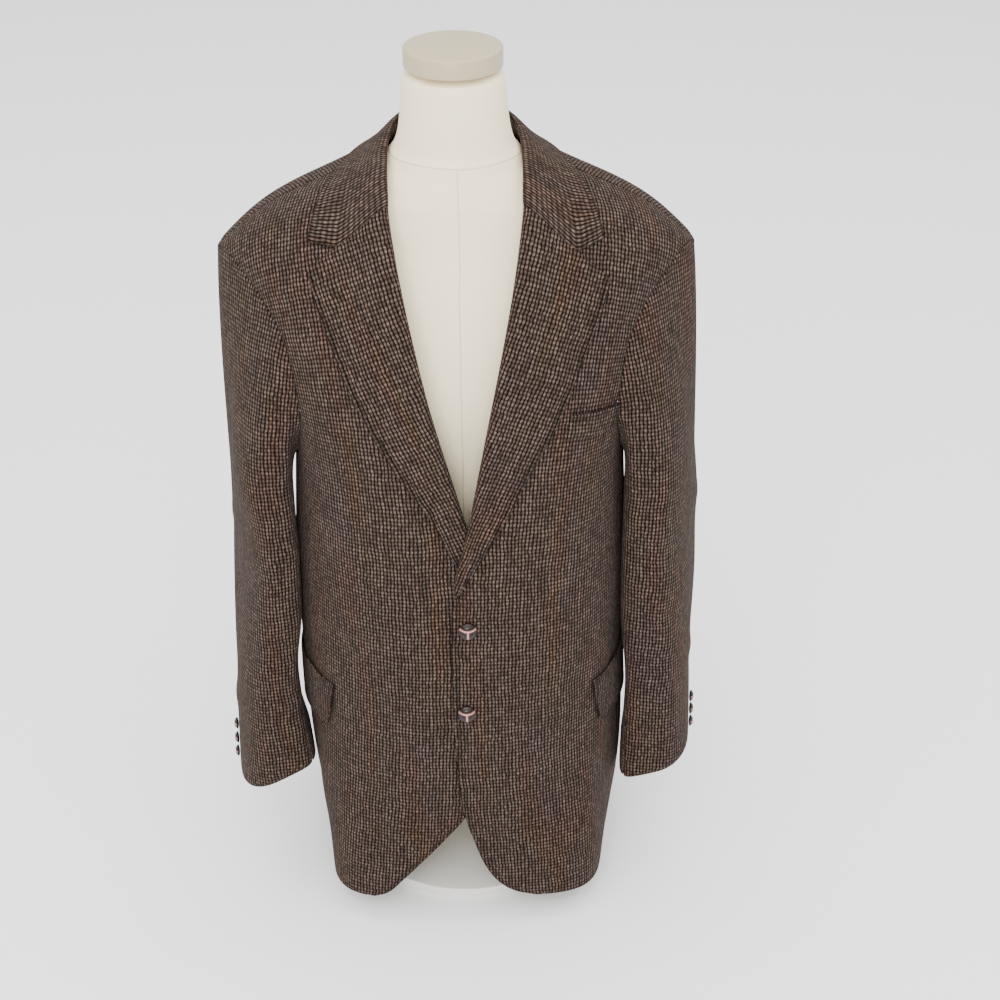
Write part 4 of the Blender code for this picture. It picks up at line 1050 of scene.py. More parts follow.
def over_shoulder(x, y, lift=0.0):
    """A point on the plain cloth above a place in plan, moved outwards by lift."""

    def height(px, py):
        top, ridge = smooth(SHOULDER_RIDGE, abs(px), "height"), smooth(SHOULDER_RIDGE, abs(px), "back")
        behind = py > ridge
        arch = BACK_ARCH if behind else FRONT_ARCH
        low, high = 0.0, 1.0
        for _ in range(HALVINGS):
            t = (low + high) / 2
            girth = girth_at(px / (1 + SHOULDER_FLARE * t), UNDERARM, behind)
            inward = math.cos(t * math.pi / 2) ** (2 / arch)
            at = mix(ridge, ring_point(girth, UNDERARM)[1], inward)
            if abs(at - ridge) > abs(py - ridge):
                low = t
            else:
                high = t
        return mix(UNDERARM, top, math.sin(low * math.pi / 2) ** (2 / arch))

    z = height(x, y)
    slope_x = (height(x + STEP, y) - height(x - STEP, y)) / (2 * STEP)
    slope_y = (height(x, y + STEP) - height(x, y - STEP)) / (2 * STEP)
    normal = np.array([-slope_x, -slope_y, 1.0])
    return np.array([x, y, z]) + normal / np.linalg.norm(normal) * lift


def gorge_end(side, share):
    """The collar's front end in plan: along the gorge, then out to the collar's point."""
    gorge_across, gorge_height = lapel_spot(side, 1.0, min(share, GORGE))
    gorge_height += 2 * SEAM_GAP
    girth, climb = spot(gorge_across, gorge_height)
    x, y, _ = plain_cloth(girth, climb)
    if share > GORGE:
        point_x, point_y = (smooth(COLLAR_SECTIONS, 1.0, name) for name in ("edge_x", "edge_y"))
        out = (share - GORGE) / (1 - GORGE)
        x, y = mix(x, point_x, out), mix(y, point_y, out)
    return np.array([x, y])


def straight_plan(along, share):
    """The collar's point in plan before its front end is bent to the gorge."""
    fold = np.array([smooth(COLLAR_SECTIONS, along, name) for name in ("fold_x", "fold_y")])
    edge = np.array([smooth(COLLAR_SECTIONS, along, name) for name in ("edge_x", "edge_y")])
    return mix(fold, edge, share)


def collar_plan(side, along, share):
    pull = ease((along - FRONT_BEND) / (1 - FRONT_BEND))
    x, y = straight_plan(along, share) + pull * (gorge_end(side, share) - straight_plan(1.0, share))
    return side * x, y


def collar_point(side, along, share, lift):
    x, y = collar_plan(side, along, share)
    rise = smooth(COLLAR_SECTIONS, along, "fold_rise")
    swell = LAYER_GAP + fold_swell(share) + (rise - GORGE_RISE) * (1 - share) ** RISE_FADE
    return over_shoulder(x, y, swell + lift)


def neckline(side, along):
    """The body's neckline, as girth and climb, from the centre back to the gorge."""
    if along < SHOULDER_SHARE:
        share = (along / SHOULDER_SHARE) ** 2
        climb = mix(mix(UNDERARM, CROWN, BACK_NECK), CROWN, share)
        return side * back_inner(climb), climb
    _, end = spot(*lapel_spot(side, 1.0, 0.0))
    climb = mix(CROWN, end, (along - SHOULDER_SHARE) / (1 - SHOULDER_SHARE))
    return side * front_inner(side, climb), climb


COLLAR_SHARES = (0.0, 0.05, 0.10, 0.18, 0.30, 0.45, 0.58, GORGE, 0.76, 0.85)


def collar_grid():
    half = [k / 20 for k in range(20)] + [0.975, 0.988, 0.992, 0.997, 1.0]
    grid = []
    for share_row, side in [(a, -1) for a in reversed(half[1:])] + [(a, 1) for a in half]:
        crest = collar_point(side, share_row, 0.0, CLOTH)
        inside = collar_point(side, share_row, COLLAR_TURN, CLOTH) - (0, 0, COLLAR_LIP)
        line = [inside - (0, 0, COLLAR_LIP), inside, crest]
        for share in COLLAR_SHARES[1:] + (0.90, 0.93, 0.955, 0.975, 1.0):
            dip = STITCH_SINK if share == 0.93 else 0.0
            line.append(collar_point(side, share_row, share, CLOTH - dip))
        grid.append(line)
    return grid


def stand_grid():
    grid = []
    for row in range(-14, 15):
        side = 1 if row >= 0 else -1
        along = abs(row) / 14 * STAND_REACH
        foot = plain_cloth(*neckline(side, along))
        crest = collar_point(side, along, 0.0, 0.0)
        out = np.array([crest[0], crest[1] - NECK_MIDDLE, 0.0])
        out /= np.linalg.norm(out)
        crest = crest - (0, 0, 2 * SEAM_GAP) - out * STAND_CREST_IN
        foot = foot + (0, 0, 2 * SEAM_GAP)
        grid.append([mix(foot, crest, k / 5) - out * STAND_FACE_IN for k in range(6)])
    return grid


lay_cloth(
    "collar", collar_grid(), ["collar_fall"], straight=True,
    edges=("last column", "first row", "last row"),
)
lay_cloth("collar_stand_cloth", stand_grid(), ["collar_stand"], straight=True)

# ---------------------------------------------------------------- sleeves
# Two-piece sleeves, a top sleeve and an under sleeve, set into the armholes with a little ease at the crown.
# They hang straight, and soft creases cross them at the elbow.

# Level sections of the two sleeves as they hang: centre and half sizes, by height above the hem.
LEFT_SLEEVE = (
    ("height", "middle_x", "middle_y", "half_x", "half_y", "turned_in"),
    (0.505, 0.2180, -0.020, 0.0350, 0.098, 10.0),
    (0.450, 0.2215, -0.024, 0.0365, 0.094, 12.0),
    (0.400, 0.2230, -0.030, 0.0370, 0.088, 14.0),
    (0.340, 0.2225, -0.036, 0.0365, 0.081, 14.0),
    (0.260, 0.2245, -0.044, 0.0345, 0.072, 11.0),
    (0.180, 0.2235, -0.052, 0.0375, 0.064, 9.0),
    (0.130, 0.2225, -0.057, 0.0400, 0.060, 6.0),
)
RIGHT_SLEEVE = (
    ("height", "middle_x", "middle_y", "half_x", "half_y", "turned_in"),
    (0.505, 0.2170, -0.018, 0.0320, 0.098, 9.0),
    (0.450, 0.2190, -0.022, 0.0300, 0.096, 13.0),
    (0.400, 0.2205, -0.028, 0.0305, 0.090, 15.0),
    (0.340, 0.2220, -0.034, 0.0315, 0.082, 15.0),
    (0.260, 0.2275, -0.043, 0.0330, 0.073, 12.0),
    (0.180, 0.2265, -0.050, 0.0375, 0.065, 12.0),
    (0.120, 0.2225, -0.056, 0.0440, 0.060, 10.0),
)
OUTER_SQUARENESS = 2.4
INNER_SQUARENESS = 5.5
SLEEVE_TOP = 0.505
LEFT_CUFF_SLOPE = 0.35
RIGHT_CUFF_SLOPE = -0.45
CUFF_START = 0.4  # how the slope comes in down the sleeve
FOREARM_SEAM = 0.38
HINDARM_SEAM = 0.91
# How far the sleeve's cloth carries on from the seam before it hangs, under the arm and at the crown.
SIDE_SET_OFF = 0.55
CROWN_SET_OFF = 0.08
# The sleeves' largest creases: how far round, how high, how long and wide, how deep, and how they lean.
SLEEVE_FOLDS = (
    ("turn", "height", "half_turn", "half_height", "depth", "lean"),
    (0.08, 0.44, 0.20, 0.034, -0.0045, 0.30),
    (0.88, 0.42, 0.18, 0.034, -0.0045, -0.25),
    (0.14, 0.33, 0.18, 0.036, 0.0030, 0.30),
    (0.90, 0.27, 0.16, 0.036, -0.0030, -0.20),
)


def sleeve_section(table, side, height, turn):
    """A point of a level section: turn 0 is the outer side, a quarter the front, a half against the body."""
    middle_x, middle_y, half_x, half_y, turned_in = (smooth(table, height, name) for name in table[0][1:])
    angle = 2 * math.pi * turn
    cos, sin = math.cos(angle), math.sin(angle)
    square = OUTER_SQUARENESS if cos > 0 else INNER_SQUARENESS
    out = half_x * math.copysign(abs(cos) ** (2 / square), cos)
    back = -half_y * math.copysign(abs(sin) ** (2 / square), sin)
    swing = math.radians(turned_in)
    x = middle_x + out * math.cos(swing) + back * math.sin(swing)
    y = middle_y - out * math.sin(swing) + back * math.cos(swing)
    return np.array([side * x, y, height])


def sleeve_fold(turn, height):
    total = 0.0
    for place, middle, half_turn, half_height, depth, lean in SLEEVE_FOLDS[1:]:
        away = (turn - place + 0.5) % 1.0 - 0.5
        if abs(away) < half_turn:
            aside = (height - middle - lean * away) / half_height
            total += depth * math.exp(-aside * aside) * (1 - (away / half_turn) ** 2) ** 2
    return total


def cuff_drop(table, side, across, height):
    """How far the cuff's slanted hem moves a point, by its place across the sleeve."""
    cuff_height, middle_x = table[-1][:2]
    share = (SLEEVE_TOP - height) / (SLEEVE_TOP - cuff_height)
    slope = LEFT_CUFF_SLOPE if side > 0 else RIGHT_CUFF_SLOPE
    return slope * (across - middle_x) * ease(share * (1 + CUFF_START) - CUFF_START)


def inside_of(grid, first):
    """The points one cloth's thickness inside a ring grid whose columns close on themselves."""
    around = np.roll(grid, -1, axis=1) - np.roll(grid, 1, axis=1)
    down = np.gradient(grid, axis=0)
    normal = np.cross(around, down)
    normal /= np.linalg.norm(normal, axis=2, keepdims=True)
    middle = grid.mean(axis=1, keepdims=True)
    flip = np.sign(np.sum(normal * (grid - middle), axis=2).mean())
    inner = grid - normal * flip * CLOTH
    inner[0] = first
    return inner


CAP_SHARES = (0.0, 0.02, 0.05, 0.10, 0.18, 0.30, 0.44, 0.58, 0.72, 0.86, 1.0)
ARM_ROWS = 22
ROPE = 0.0014


def armhole(side):
    """The armhole's edge from the shoulder's tip round to it again, with the way the sleeve sets off."""
    upper = [mix(UNDERARM, CROWN, t) for t in halved([0.0] + list(UPPER_SHARES))[1:]]
    path = [(front_outer(c), c) for c in reversed(upper)]
    path += [(mix(FRONT_SEAM, BACK_SEAM, k / 10), UNDERARM) for k in range(11)]
    path += [(back_outer(c), c) for c in upper[:-1]]
    points = [plain_cloth(side * girth, climb) for girth, climb in path]
    count = len(points)
    starts, ways, insides = [], [], []
    for k, (girth, climb) in enumerate(path):
        normal = outward(side * girth, climb)
        along = points[(k + 1) % count] - points[k - 1]
        away = np.cross(along, normal)
        into_hole = np.array([side, 0.0, 0.0]) if climb > UNDERARM else np.array([0.0, 0.0, 1.0])
        away *= math.copysign(1 / np.linalg.norm(away), away @ into_hole)
        starts.append(points[k] + away * ARMHOLE_GAP * 0.5 - normal * SEAM_SINK)
        insides.append(starts[-1] - normal * CLOTH)
        carry = 0.5 + 0.5 * math.cos(2 * math.pi * k / count)
        way = mix(normal, away, carry)
        ways.append(way / np.linalg.norm(way) * mix(SIDE_SET_OFF, CROWN_SET_OFF, carry))
    return starts, ways, np.array(insides)


def sleeve_grid(side, table):
    hole, ways, insides = armhole(side)
    run = [0.0]
    for one, two in zip(hole, hole[1:] + hole[:1]):
        run.append(run[-1] + np.linalg.norm(two - one))
    turns = [r / run[-1] for r in run[:-1]]
    grid = []
    for s in CAP_SHARES:
        line = []
        for start, way, turn in zip(hole, ways, turns):
            end = sleeve_section(table, side, SLEEVE_TOP, turn)
            gap = np.linalg.norm(end - start)
            line.append(
                (1 + 2 * s) * (1 - s) ** 2 * start
                + s * (1 - s) ** 2 * way * gap
                + s * s * (3 - 2 * s) * end
                + s * s * (s - 1) * np.array([0.0, 0.0, -gap])
            )
        grid.append(line)
    for k in range(1, ARM_ROWS + 1):
        height = mix(SLEEVE_TOP, table[-1][0], k / ARM_ROWS)
        line = []
        for turn in turns:
            place = sleeve_section(table, side, height, turn)
            across = place - sleeve_section(table, side, height, (turn + 0.5) % 1.0)
            place = place + across / np.linalg.norm(across) * sleeve_fold(turn, height)
            place[2] += cuff_drop(table, side, abs(place[0]), height)
            line.append(place)
        grid.append(line)
    return np.array(grid), turns, insides


# Each sleeve's creases, measured from the middle of the cuff's edge.
SLEEVE_CREASES = {
    "top_left": (
        (0.02, 0.27, 62.0, 0.080, 0.013, -0.0038),
        (-0.02, 0.32, 70.0, 0.068, 0.011, 0.0030),
        (0.03, 0.19, 55.0, 0.078, 0.014, -0.0032),
        (-0.03, 0.12, 66.0, 0.066, 0.012, 0.0026),
        (0.00, 0.46, 12.0, 0.110, 0.018, -0.0030),
    ),
    "top_right": (
        (-0.02, 0.28, -60.0, 0.082, 0.013, -0.0040),
        (0.02, 0.34, -68.0, 0.064, 0.011, 0.0030),
        (-0.03, 0.18, -58.0, 0.080, 0.014, -0.0032),
        (0.03, 0.10, -64.0, 0.068, 0.012, 0.0024),
        (0.00, 0.47, -10.0, 0.105, 0.018, -0.0030),
    ),
    "under_left": ((0.0, 0.30, 4.0, 0.22, 0.030, 0.0030), (0.0, 0.26, 62.0, 0.06, 0.011, -0.0026)),
    "under_right": ((0.0, 0.30, -4.0, 0.22, 0.030, 0.0030), (0.0, 0.27, -62.0, 0.06, 0.011, -0.0026)),
}


def make_sleeve(side, word, rows):
    grid, turns, insides = sleeve_grid(side, rows)
    inner = inside_of(grid, insides)
    grid[2] += (grid[2] - inner[2]) / CLOTH * ROPE
    count = len(turns)
    fore = min(range(count), key=lambda i: abs(turns[i] - FOREARM_SEAM))
    hind = min(range(count), key=lambda i: abs(turns[i] - HINDARM_SEAM))
    top = [i % count for i in range(hind, count + fore + 1)]
    under = list(range(fore, hind + 1))
    for kind, columns in (("top", top), ("under", under)):
        face, lining = grid[:, columns].copy(), inner[:, columns].copy()
        inward = (lining - face) / CLOTH
        parts = []
        for edge, neighbour in ((0, 1), (-1, -2)):
            way = face[:, neighbour] - face[:, edge]
            way /= np.linalg.norm(way, axis=1, keepdims=True)
            parts.append(
                (
                    face[:, edge] + way * SEAM_GAP / 2 + inward[:, edge] * SEAM_SINK,
                    face[:, edge] + way * 0.0020,
                    face[:, edge] + way * 0.0050,
                )
            )
        body = [face[:, k] for k in range(1, len(columns) - 1)]
        lines = list(parts[0]) + body + list(reversed(parts[1]))
        cloth = np.stack(lines, axis=1)
        lay_cloth(
            f"{kind}_sleeve_{word}_cloth",
            cloth[::-1],
            [f"{kind}_sleeve_{word}"],
            foot=(side * 0.2, 0.0, side),
            creases=SLEEVE_CREASES[f"{kind}_{word}"],
        )


for side, word, rows in ((1, "left", LEFT_SLEEVE), (-1, "right", RIGHT_SLEEVE)):
    make_sleeve(side, word, rows)

# ---------------------------------------------------------------- pockets
# A breast welt on the wearer's left, and a flap over each hip pocket, sewn along the top and stitched near
# the other edges.

FLAP_FRONT = 0.140
FLAP_HEIGHT = 0.280
FLAP_LENGTH = 0.150
FLAP_DROP = 0.066
FLAP_CORNER = 0.013
FLAP_ROUND = 0.9  # how far in a corner's rounding draws the edge, as a share of its radius
FLAP_SLANT = 0.012  # how much further back the front edge lies at the bottom
WELT_INNER = 0.108
WELT_HEIGHT = 0.612
WELT_LENGTH = 0.060
WELT_DEPTH = 0.028
WELT_GAPE = 0.0020  # how far the welt's outer end stands away at its top
SEAT_GAP = 0.0005  # what a sewn-on edge keeps to the cloth beneath it
FLAP_SWING = 0.0008  # how much further off the cloth a flap's lower edge hangs


def flap_grid(side):
    start, _ = spot(FLAP_FRONT, FLAP_HEIGHT)
    downs = [0.0, 0.02, 0.1, 0.25, 0.4, 0.55, 0.7, 0.8]
    downs += [1 - step / FLAP_DROP for step in reversed(EDGE_STEPS)]
    stitched_down = 1 - STITCH_IN / FLAP_DROP
    grid = []
    for down in downs:
        corner = max(down * FLAP_DROP - (FLAP_DROP - FLAP_CORNER), 0.0)
        cut = FLAP_CORNER - math.sqrt(max(FLAP_CORNER**2 - corner**2, 0.0))
        first = start + FLAP_ROUND * cut + FLAP_SLANT * down
        last = start + FLAP_LENGTH - FLAP_ROUND * cut
        girths = [first + step for step in EDGE_STEPS]
        girths += [mix(girths[-1], last - EDGE_STEPS[-1], (k + 1) / 14) for k in range(13)]
        girths += [last - step for step in reversed(EDGE_STEPS)]
        climb = FLAP_HEIGHT - down * FLAP_DROP
        lift = mix(SEAT_GAP, LAYER_GAP + FLAP_SWING, down**0.5) + CLOTH
        line = []
        for k, girth in enumerate(girths):
            stitched = k in (STITCH_STEP, len(girths) - 1 - STITCH_STEP) or abs(down - stitched_down) < 1e-6
            line.append(body_cloth(side * girth, climb, lift - (STITCH_SINK if stitched else 0.0)))
        grid.append(line)
    return grid[::-1]


def welt_grid():
    start, _ = spot(WELT_INNER, WELT_HEIGHT)
    grid = []
    for up in (0.0, 0.04, 0.12, 0.25, 0.4, 0.6, 0.77, 0.82, 0.87, 0.96, 1.0):
        line = []
        climb = spot(WELT_INNER, WELT_HEIGHT - WELT_DEPTH * (1 - up) / 2 + up * WELT_DEPTH / 2)[1]
        lift = mix(SEAT_GAP, LAYER_GAP, up) + CLOTH
        for k in range(13):
            share = k / 12
            gape = WELT_GAPE * up * share**3
            dip = STITCH_SINK if up == 0.82 else 0.0
            line.append(body_cloth(mix(start, start + WELT_LENGTH, share), climb, lift + gape - dip))
        grid.append(line)
    return grid


for side, word in ((1, "left"), (-1, "right")):
    lay_cloth(
        f"flap_{word}", flap_grid(side), [f"pocket_flap_{word}"], foot=(side * 0.2, 0.24, side),
        edges=("first row", "first column", "last column"),
    )
lay_cloth(
    "welt", welt_grid(), ["breast_welt"], foot=(0.14, 0.6, 1), edges=("first row", "last row", "last column")
)

# ---------------------------------------------------------------- buttons
# Leather football buttons: four strips of oxblood leather woven into a dome, paler along the strips'
# edges, partly from wear and partly as a painted highlight.  Two fasten the fronts and three sit on each
# cuff.

LEATHER = (0.0085, 0.0018, 0.0014)
# the pale colour of the strips' edges: partly wear, partly a painted highlight
LEATHER_WORN_AND_HIGHLIT = (0.62, 0.30, 0.26)
BUTTON_RADIUS = 0.0098
CUFF_BUTTON_RADIUS = 0.0070
# The button's relief, as shares of its radius.
ARC_HEIGHT = 0.12
ARC_BOW = 0.30
GROOVE_WIDTH = 0.10
RIM_PLACE = 0.80
RIM_WIDTH = 0.12
DOME_HEIGHT = 0.52
BACK_HEIGHT = 0.22
GROOVE_DEPTH = 0.07
BUTTON_STAND = 0.24
NO_GROOVE = 9.0  # far enough off for no groove to show


def make_leather():
    made, tree, shader = new_material("woven leather")
    # pale along the strips' edges: partly wear, partly a painted highlight
    worn_and_highlit = tree.add("ShaderNodeAttribute", attribute_name="worn_and_highlit").outputs["Fac"]
    place = tree.add("ShaderNodeTexCoord").outputs["Object"]
    grain = tree.add("ShaderNodeTexNoise", {"Vector": place, "Scale": 900.0, "Detail": 3.0}).outputs["Fac"]
    wear_and_highlight = tree.math("MULTIPLY", worn_and_highlit, tree.math("ADD", 0.6, tree.math("MULTIPLY", grain, 0.6)), clamp=True)
    colour = tree.blend(wear_and_highlight, LEATHER, LEATHER_WORN_AND_HIGHLIT)
    made.node_tree.links.new(colour, shader.inputs["Base Color"])
    bump = tree.add("ShaderNodeBump", {"Strength": 0.35, "Distance": 0.0002, "Height": grain})
    made.node_tree.links.new(bump.outputs["Normal"], shader.inputs["Normal"])
    shader.inputs["Roughness"].default_value = 0.26
    shader.inputs["Specular IOR Level"].default_value = 0.28
    return made


leather = make_leather()


def football(name, place, normal, radius, replaced, spin=0.0):
    """A domed button of crossing leather strips, with grooves between the strips."""
    deselect()
    bpy.ops.mesh.primitive_uv_sphere_add(segments=40, ring_count=24, radius=1.0)
    button = bpy.context.object
    button.name = name
    mesh = button.data
    points = read(mesh.vertices, "co", 3)
    x, y, z = points[:, 0], points[:, 1], points[:, 2]
    arc = np.abs(y - ARC_HEIGHT - ARC_BOW * x * x) / GROOVE_WIDTH
    stem = np.where(y < ARC_HEIGHT, np.abs(x) / GROOVE_WIDTH, NO_GROOVE)
    rims = np.abs(np.hypot(x, y) - RIM_PLACE) / RIM_WIDTH
    groove = np.exp(-np.minimum(np.minimum(arc, stem), rims) ** 2)
    dome = np.where(z > 0, z * DOME_HEIGHT, z * BACK_HEIGHT)
    lower = groove * GROOVE_DEPTH * (z > 0.0)
    shaped = np.stack([x * 0.98, y * 0.98, dome - lower + BUTTON_STAND], axis=1) * radius
    normal = Vector(normal).normalized()
    right = Vector((0, 0, 1)).cross(normal).normalized()
    up = normal.cross(right)
    cos, sin = math.cos(spin), math.sin(spin)
    turn = np.array(Matrix((right * cos + up * sin, up * cos - right * sin, normal)).transposed())
    mesh.vertices.foreach_set("co", (shaped @ turn.T + np.array(place)).ravel())
    # the strips' pale edges, partly wear and partly a painted highlight
    worn_and_highlit = np.exp(-np.minimum(arc, stem) ** 2 * 1.4) * (z > 0.1)
    mark(mesh, "worn_and_highlit", "FLOAT", worn_and_highlit.astype(np.float32))
    mesh.update()
    bpy.ops.object.shade_smooth()
    mesh.materials.clear()
    mesh.materials.append(leather)
    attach(button, "root")
    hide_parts(replaced)


for k in (1, 2):
    low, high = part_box(f"front_button_{k}")
    middle = (low + high) / 2
    place = Vector((middle.x, high.y - 0.0004, middle.z))
    football(f"button_front_{k}", place, (0.02, -1.0, 0.22), BUTTON_RADIUS, f"front_button_{k}")
for word, side in (("left", 1), ("right", -1)):
    for k in (1, 2, 3):
        low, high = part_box(f"cuff_button_{word}_{k}")
        middle = (low + high) / 2
        inner = low.x if side > 0 else high.x
        place = Vector((inner, middle.y, middle.z))
        football(
            f"button_cuff_{word}_{k}", place, (side, -0.10, -0.02), CUFF_BUTTON_RADIUS,
            f"cuff_button_{word}_{k}",
        )

# ---------------------------------------------------------------- dress form
# A limbless form covered in smooth cream jersey, with a seam down its front and one round the base of its
# neck.

FORM_CREAM = (0.95, 0.83, 0.58)
FORM_SEAM = (0.50, 0.43, 0.30)
NECK_SEAM_HEIGHT = 0.8845
FRONT_SEAM_PLACE = 0.003


def make_form_cover():
    made, tree, shader = new_material("form jersey")
    place = tree.add("ShaderNodeTexCoord").outputs["Object"]
    knit = tree.add("ShaderNodeTexNoise", {"Vector": place, "Scale": 1400.0, "Detail": 2.0}).outputs["Fac"]
    cloudy = tree.add("ShaderNodeTexNoise", {"Vector": place, "Scale": 9.0, "Detail": 3.0}).outputs["Fac"]
    shade = tree.math("ADD", 0.95, tree.math("MULTIPLY", cloudy, 0.08))
    colour = tree.shaded(FORM_CREAM, shade)
    split = tree.add("ShaderNodeSeparateXYZ", {0: place})
    across, back, up = split.outputs
    waver = tree.add("ShaderNodeTexNoise", {"Vector": place, "Scale": 14.0, "Detail": 1.0}).outputs["Fac"]
    waver = tree.math("MULTIPLY", tree.math("SUBTRACT", waver, 0.5), 0.0035)
    off_ring = tree.math("ABSOLUTE", tree.math("SUBTRACT", tree.math("ADD", up, waver), NECK_SEAM_HEIGHT))
    off_middle = tree.math("SUBTRACT", tree.math("ADD", across, waver), FRONT_SEAM_PLACE)
    off_middle = tree.math("ABSOLUTE", off_middle)
    above = tree.math("GREATER_THAN", up, NECK_SEAM_HEIGHT)
    behind = tree.math("GREATER_THAN", back, 0.0)
    off_middle = tree.math("ADD", off_middle, tree.math("ADD", above, behind))
    off = tree.math("MINIMUM", off_ring, off_middle)
    seam = tree.math("SUBTRACT", 1.0, tree.between(off, 0.0002, 0.0012))
    colour = tree.blend(tree.math("MULTIPLY", seam, 0.55), colour, FORM_SEAM)
    made.node_tree.links.new(colour, shader.inputs["Base Color"])
    knit = tree.math("SUBTRACT", knit, tree.math("MULTIPLY", seam, 3.0))
    bump = tree.add("ShaderNodeBump", {"Strength": 0.25, "Distance": 0.0003, "Height": knit})
    made.node_tree.links.new(bump.outputs["Normal"], shader.inputs["Normal"])
    shader.inputs["Roughness"].default_value = 0.72
    return made


form_cover = make_form_cover()


def finish_piece(piece, material, replaced):
    piece.data.materials.clear()
    piece.data.materials.append(material)
    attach(piece, "root")
    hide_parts(*replaced)


FORM_FOOT = 0.100
FORM_SECTIONS = (
    ("height", "half_width", "front_depth", "back_depth", "squareness"),
    (FORM_FOOT, 0.120, 0.105, 0.110, 2.2),
    (0.200, 0.132, 0.115, 0.120, 2.2),
    (0.300, 0.128, 0.110, 0.110, 2.2),
    (0.400, 0.108, 0.098, 0.090, 2.2),
    (0.500, 0.118, 0.112, 0.092, 2.2),
    (0.600, 0.136, 0.128, 0.100, 2.2),
    (0.660, 0.150, 0.118, 0.105, 2.3),
    (0.710, 0.172, 0.102, 0.103, 2.3),
    (0.745, 0.187, 0.087, 0.098, 2.3),
    (0.768, 0.190, 0.077, 0.092, 2.2),
    (0.785, 0.1825, 0.072, 0.086, 2.2),
    (0.797, 0.1605, 0.069, 0.082, 2.1),
    (0.806, 0.1410, 0.067, 0.079, 2.1),
    (0.815, 0.1190, 0.064, 0.075, 2.0),
    (0.825, 0.0965, 0.061, 0.069, 2.0),
    (0.8345, 0.0750, 0.058, 0.063, 2.0),
    (0.845, 0.0660, 0.056, 0.060, 2.0),
    (0.852, 0.0600, 0.053, 0.056, 2.0),
    (0.875, 0.0545, 0.052, 0.053, 2.0),
    (0.905, 0.0515, 0.0505, 0.0515, 2.0),
    (0.9285, 0.0490, 0.0490, 0.0490, 2.0),
)


FORM_SIDES = 48
FORM_SHRINK = 0.998  # the cover keeps just inside the plain solid


def make_form():
    deselect()
    heights = halved([row[0] for row in FORM_SECTIONS[1:]])
    bpy.ops.mesh.primitive_cylinder_add(vertices=FORM_SIDES, radius=1.0, depth=1.0, end_fill_type="NGON")
    form = bpy.context.object
    form.name = "form_body"
    build = bmesh.new()
    rings_made = []
    for height in heights:
        width, front, back, square = (smooth(FORM_SECTIONS, height, name) for name in FORM_SECTIONS[0][1:])
        loop = []
        for k in range(FORM_SIDES):
            angle = 2 * math.pi * k / FORM_SIDES
            cos, sin = math.cos(angle), math.sin(angle)
            x = width * math.copysign(abs(cos) ** (2 / square), cos)
            y = (back if sin > 0 else front) * math.copysign(abs(sin) ** (2 / square), sin)
            loop.append(build.verts.new((x * FORM_SHRINK, y * FORM_SHRINK, height + HEM_HEIGHT)))
        rings_made.append(loop)
    for one, two in zip(rings_made, rings_made[1:]):
        for k in range(FORM_SIDES):
            build.faces.new([one[k], one[(k + 1) % FORM_SIDES], two[(k + 1) % FORM_SIDES], two[k]])
    build.faces.new(rings_made[0][::-1])
    build.faces.new(rings_made[-1])
    build.to_mesh(form.data)
    build.free()
    apply_modifier(form, "SUBSURF", levels=1, render_levels=1)
    bpy.ops.object.shade_smooth_by_angle(angle=math.radians(50))
    finish_piece(form, form_cover, ["form_torso"])


make_form()

# ---------------------------------------------------------------- neck cap, pole and base
# A turned cap closes the neck.  A steel pole and a round base, both painted off-white, carry the form.


def make_satin(name, colour, roughness, speckle):
    made, tree, shader = new_material(name)
    place = tree.add("ShaderNodeTexCoord").outputs["Object"]
    fine = tree.add("ShaderNodeTexNoise", {"Vector": place, "Scale": speckle, "Detail": 3.0}).outputs["Fac"]
    shade = tree.math("ADD", 0.96, tree.math("MULTIPLY", fine, 0.06))
    made.node_tree.links.new(tree.shaded(colour, shade), shader.inputs["Base Color"])
    rough = tree.math("ADD", roughness - 0.06, tree.math("MULTIPLY", fine, 0.12))
    made.node_tree.links.new(rough, shader.inputs["Roughness"])
    return made


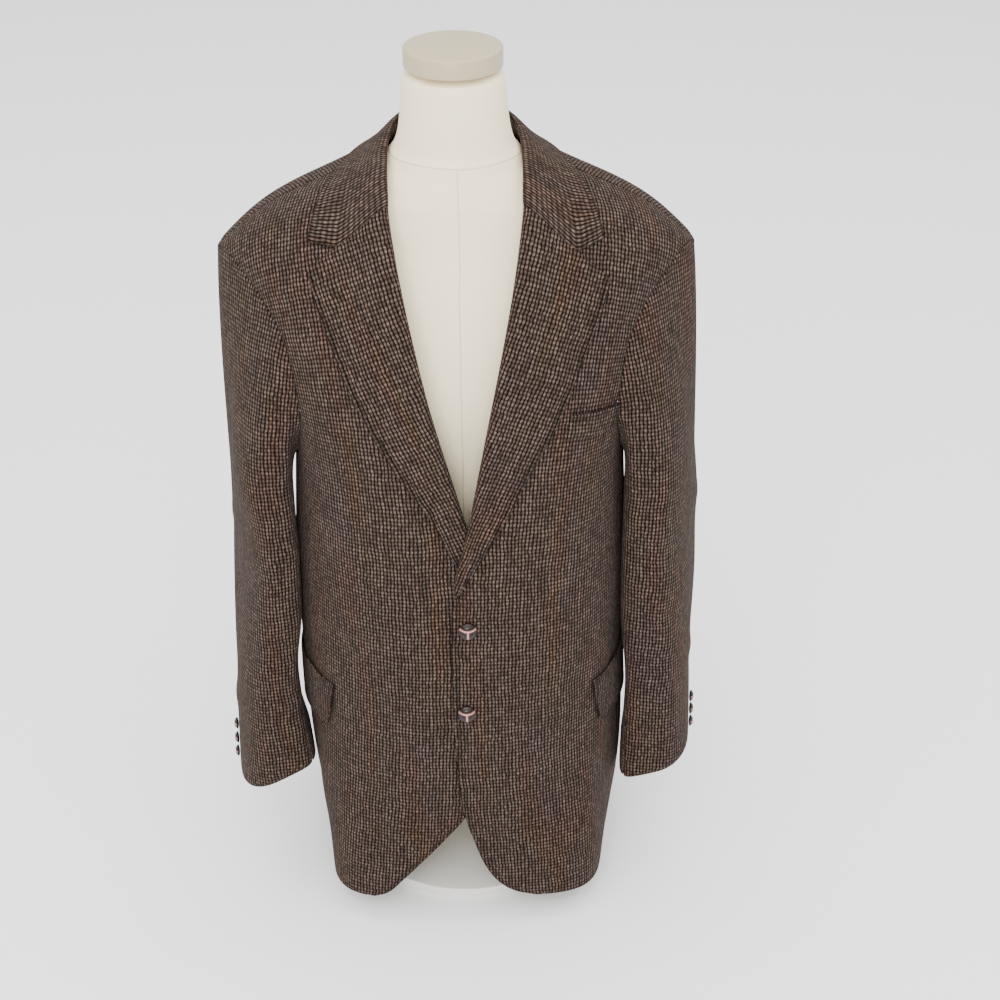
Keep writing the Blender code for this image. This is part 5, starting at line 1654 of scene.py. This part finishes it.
cap_satin = make_satin("cap satin", (0.44, 0.365, 0.235), 0.38, 60.0)
stand_paint = make_satin("stand enamel", (0.82, 0.80, 0.75), 0.35, 240.0)
for node, surface, slot in (
    ("neck_cap", cap_satin, "neck_cap"),
    ("stand_pole", stand_paint, "stand_paint"),
    ("stand_base", stand_paint, "stand_paint"),
):
    low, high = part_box(node)
    deselect()
    radius = (high.x - low.x) / 2
    bpy.ops.mesh.primitive_cylinder_add(
        vertices=96, radius=radius, depth=high.z - low.z, location=(0.0, 0.0, (low.z + high.z) / 2)
    )
    turned_piece = bpy.context.object
    turned_piece.name = f"{node}_turned"
    bpy.ops.object.transform_apply(location=True, rotation=True, scale=True)
    apply_modifier(turned_piece, "BEVEL", width=0.0016, segments=4, limit_method="ANGLE")
    bpy.ops.object.shade_smooth_by_angle(angle=math.radians(40))
    finish_piece(turned_piece, surface, [node])

# ---------------------------------------------------------------- floor and light
# A plain pale floor, a pale surround and soft lights from the front and above.

deselect()
bpy.ops.mesh.primitive_plane_add(size=60.0)
floor = bpy.context.object
floor.name = "floor"
pale, _, shader = new_material("pale floor")
shader.inputs["Base Color"].default_value = (0.97, 0.97, 0.97, 1.0)
shader.inputs["Roughness"].default_value = 0.9
floor.data.materials.append(pale)

WORLD_STRENGTH = 1.25
world = bpy.data.worlds.new("pale surround")
world.use_nodes = True
world.node_tree.nodes["Background"].inputs["Color"].default_value = (1.0, 1.0, 1.0, 1.0)
world.node_tree.nodes["Background"].inputs["Strength"].default_value = WORLD_STRENGTH
bpy.context.scene.world = world

# Each lamp's place, its width and its power in watts.
LIGHTS = (
    ("overhead", (0.0, -0.4, 3.6), 6.0, 300.0),
    ("key", (-0.12, -1.22, 1.15), 0.6, 14.0),
)
LIT_SPOT = Vector((0.0, 0.0, 0.55))
for name, place, size, power in LIGHTS:
    lamp = bpy.data.lights.new(name, "AREA")
    lamp.size = size
    lamp.energy = power
    light = bpy.data.objects.new(name, lamp)
    light.location = place
    light.rotation_euler = (LIT_SPOT - Vector(place)).to_track_quat("-Z", "Y").to_euler()
    bpy.context.scene.collection.objects.link(light)


deselect()
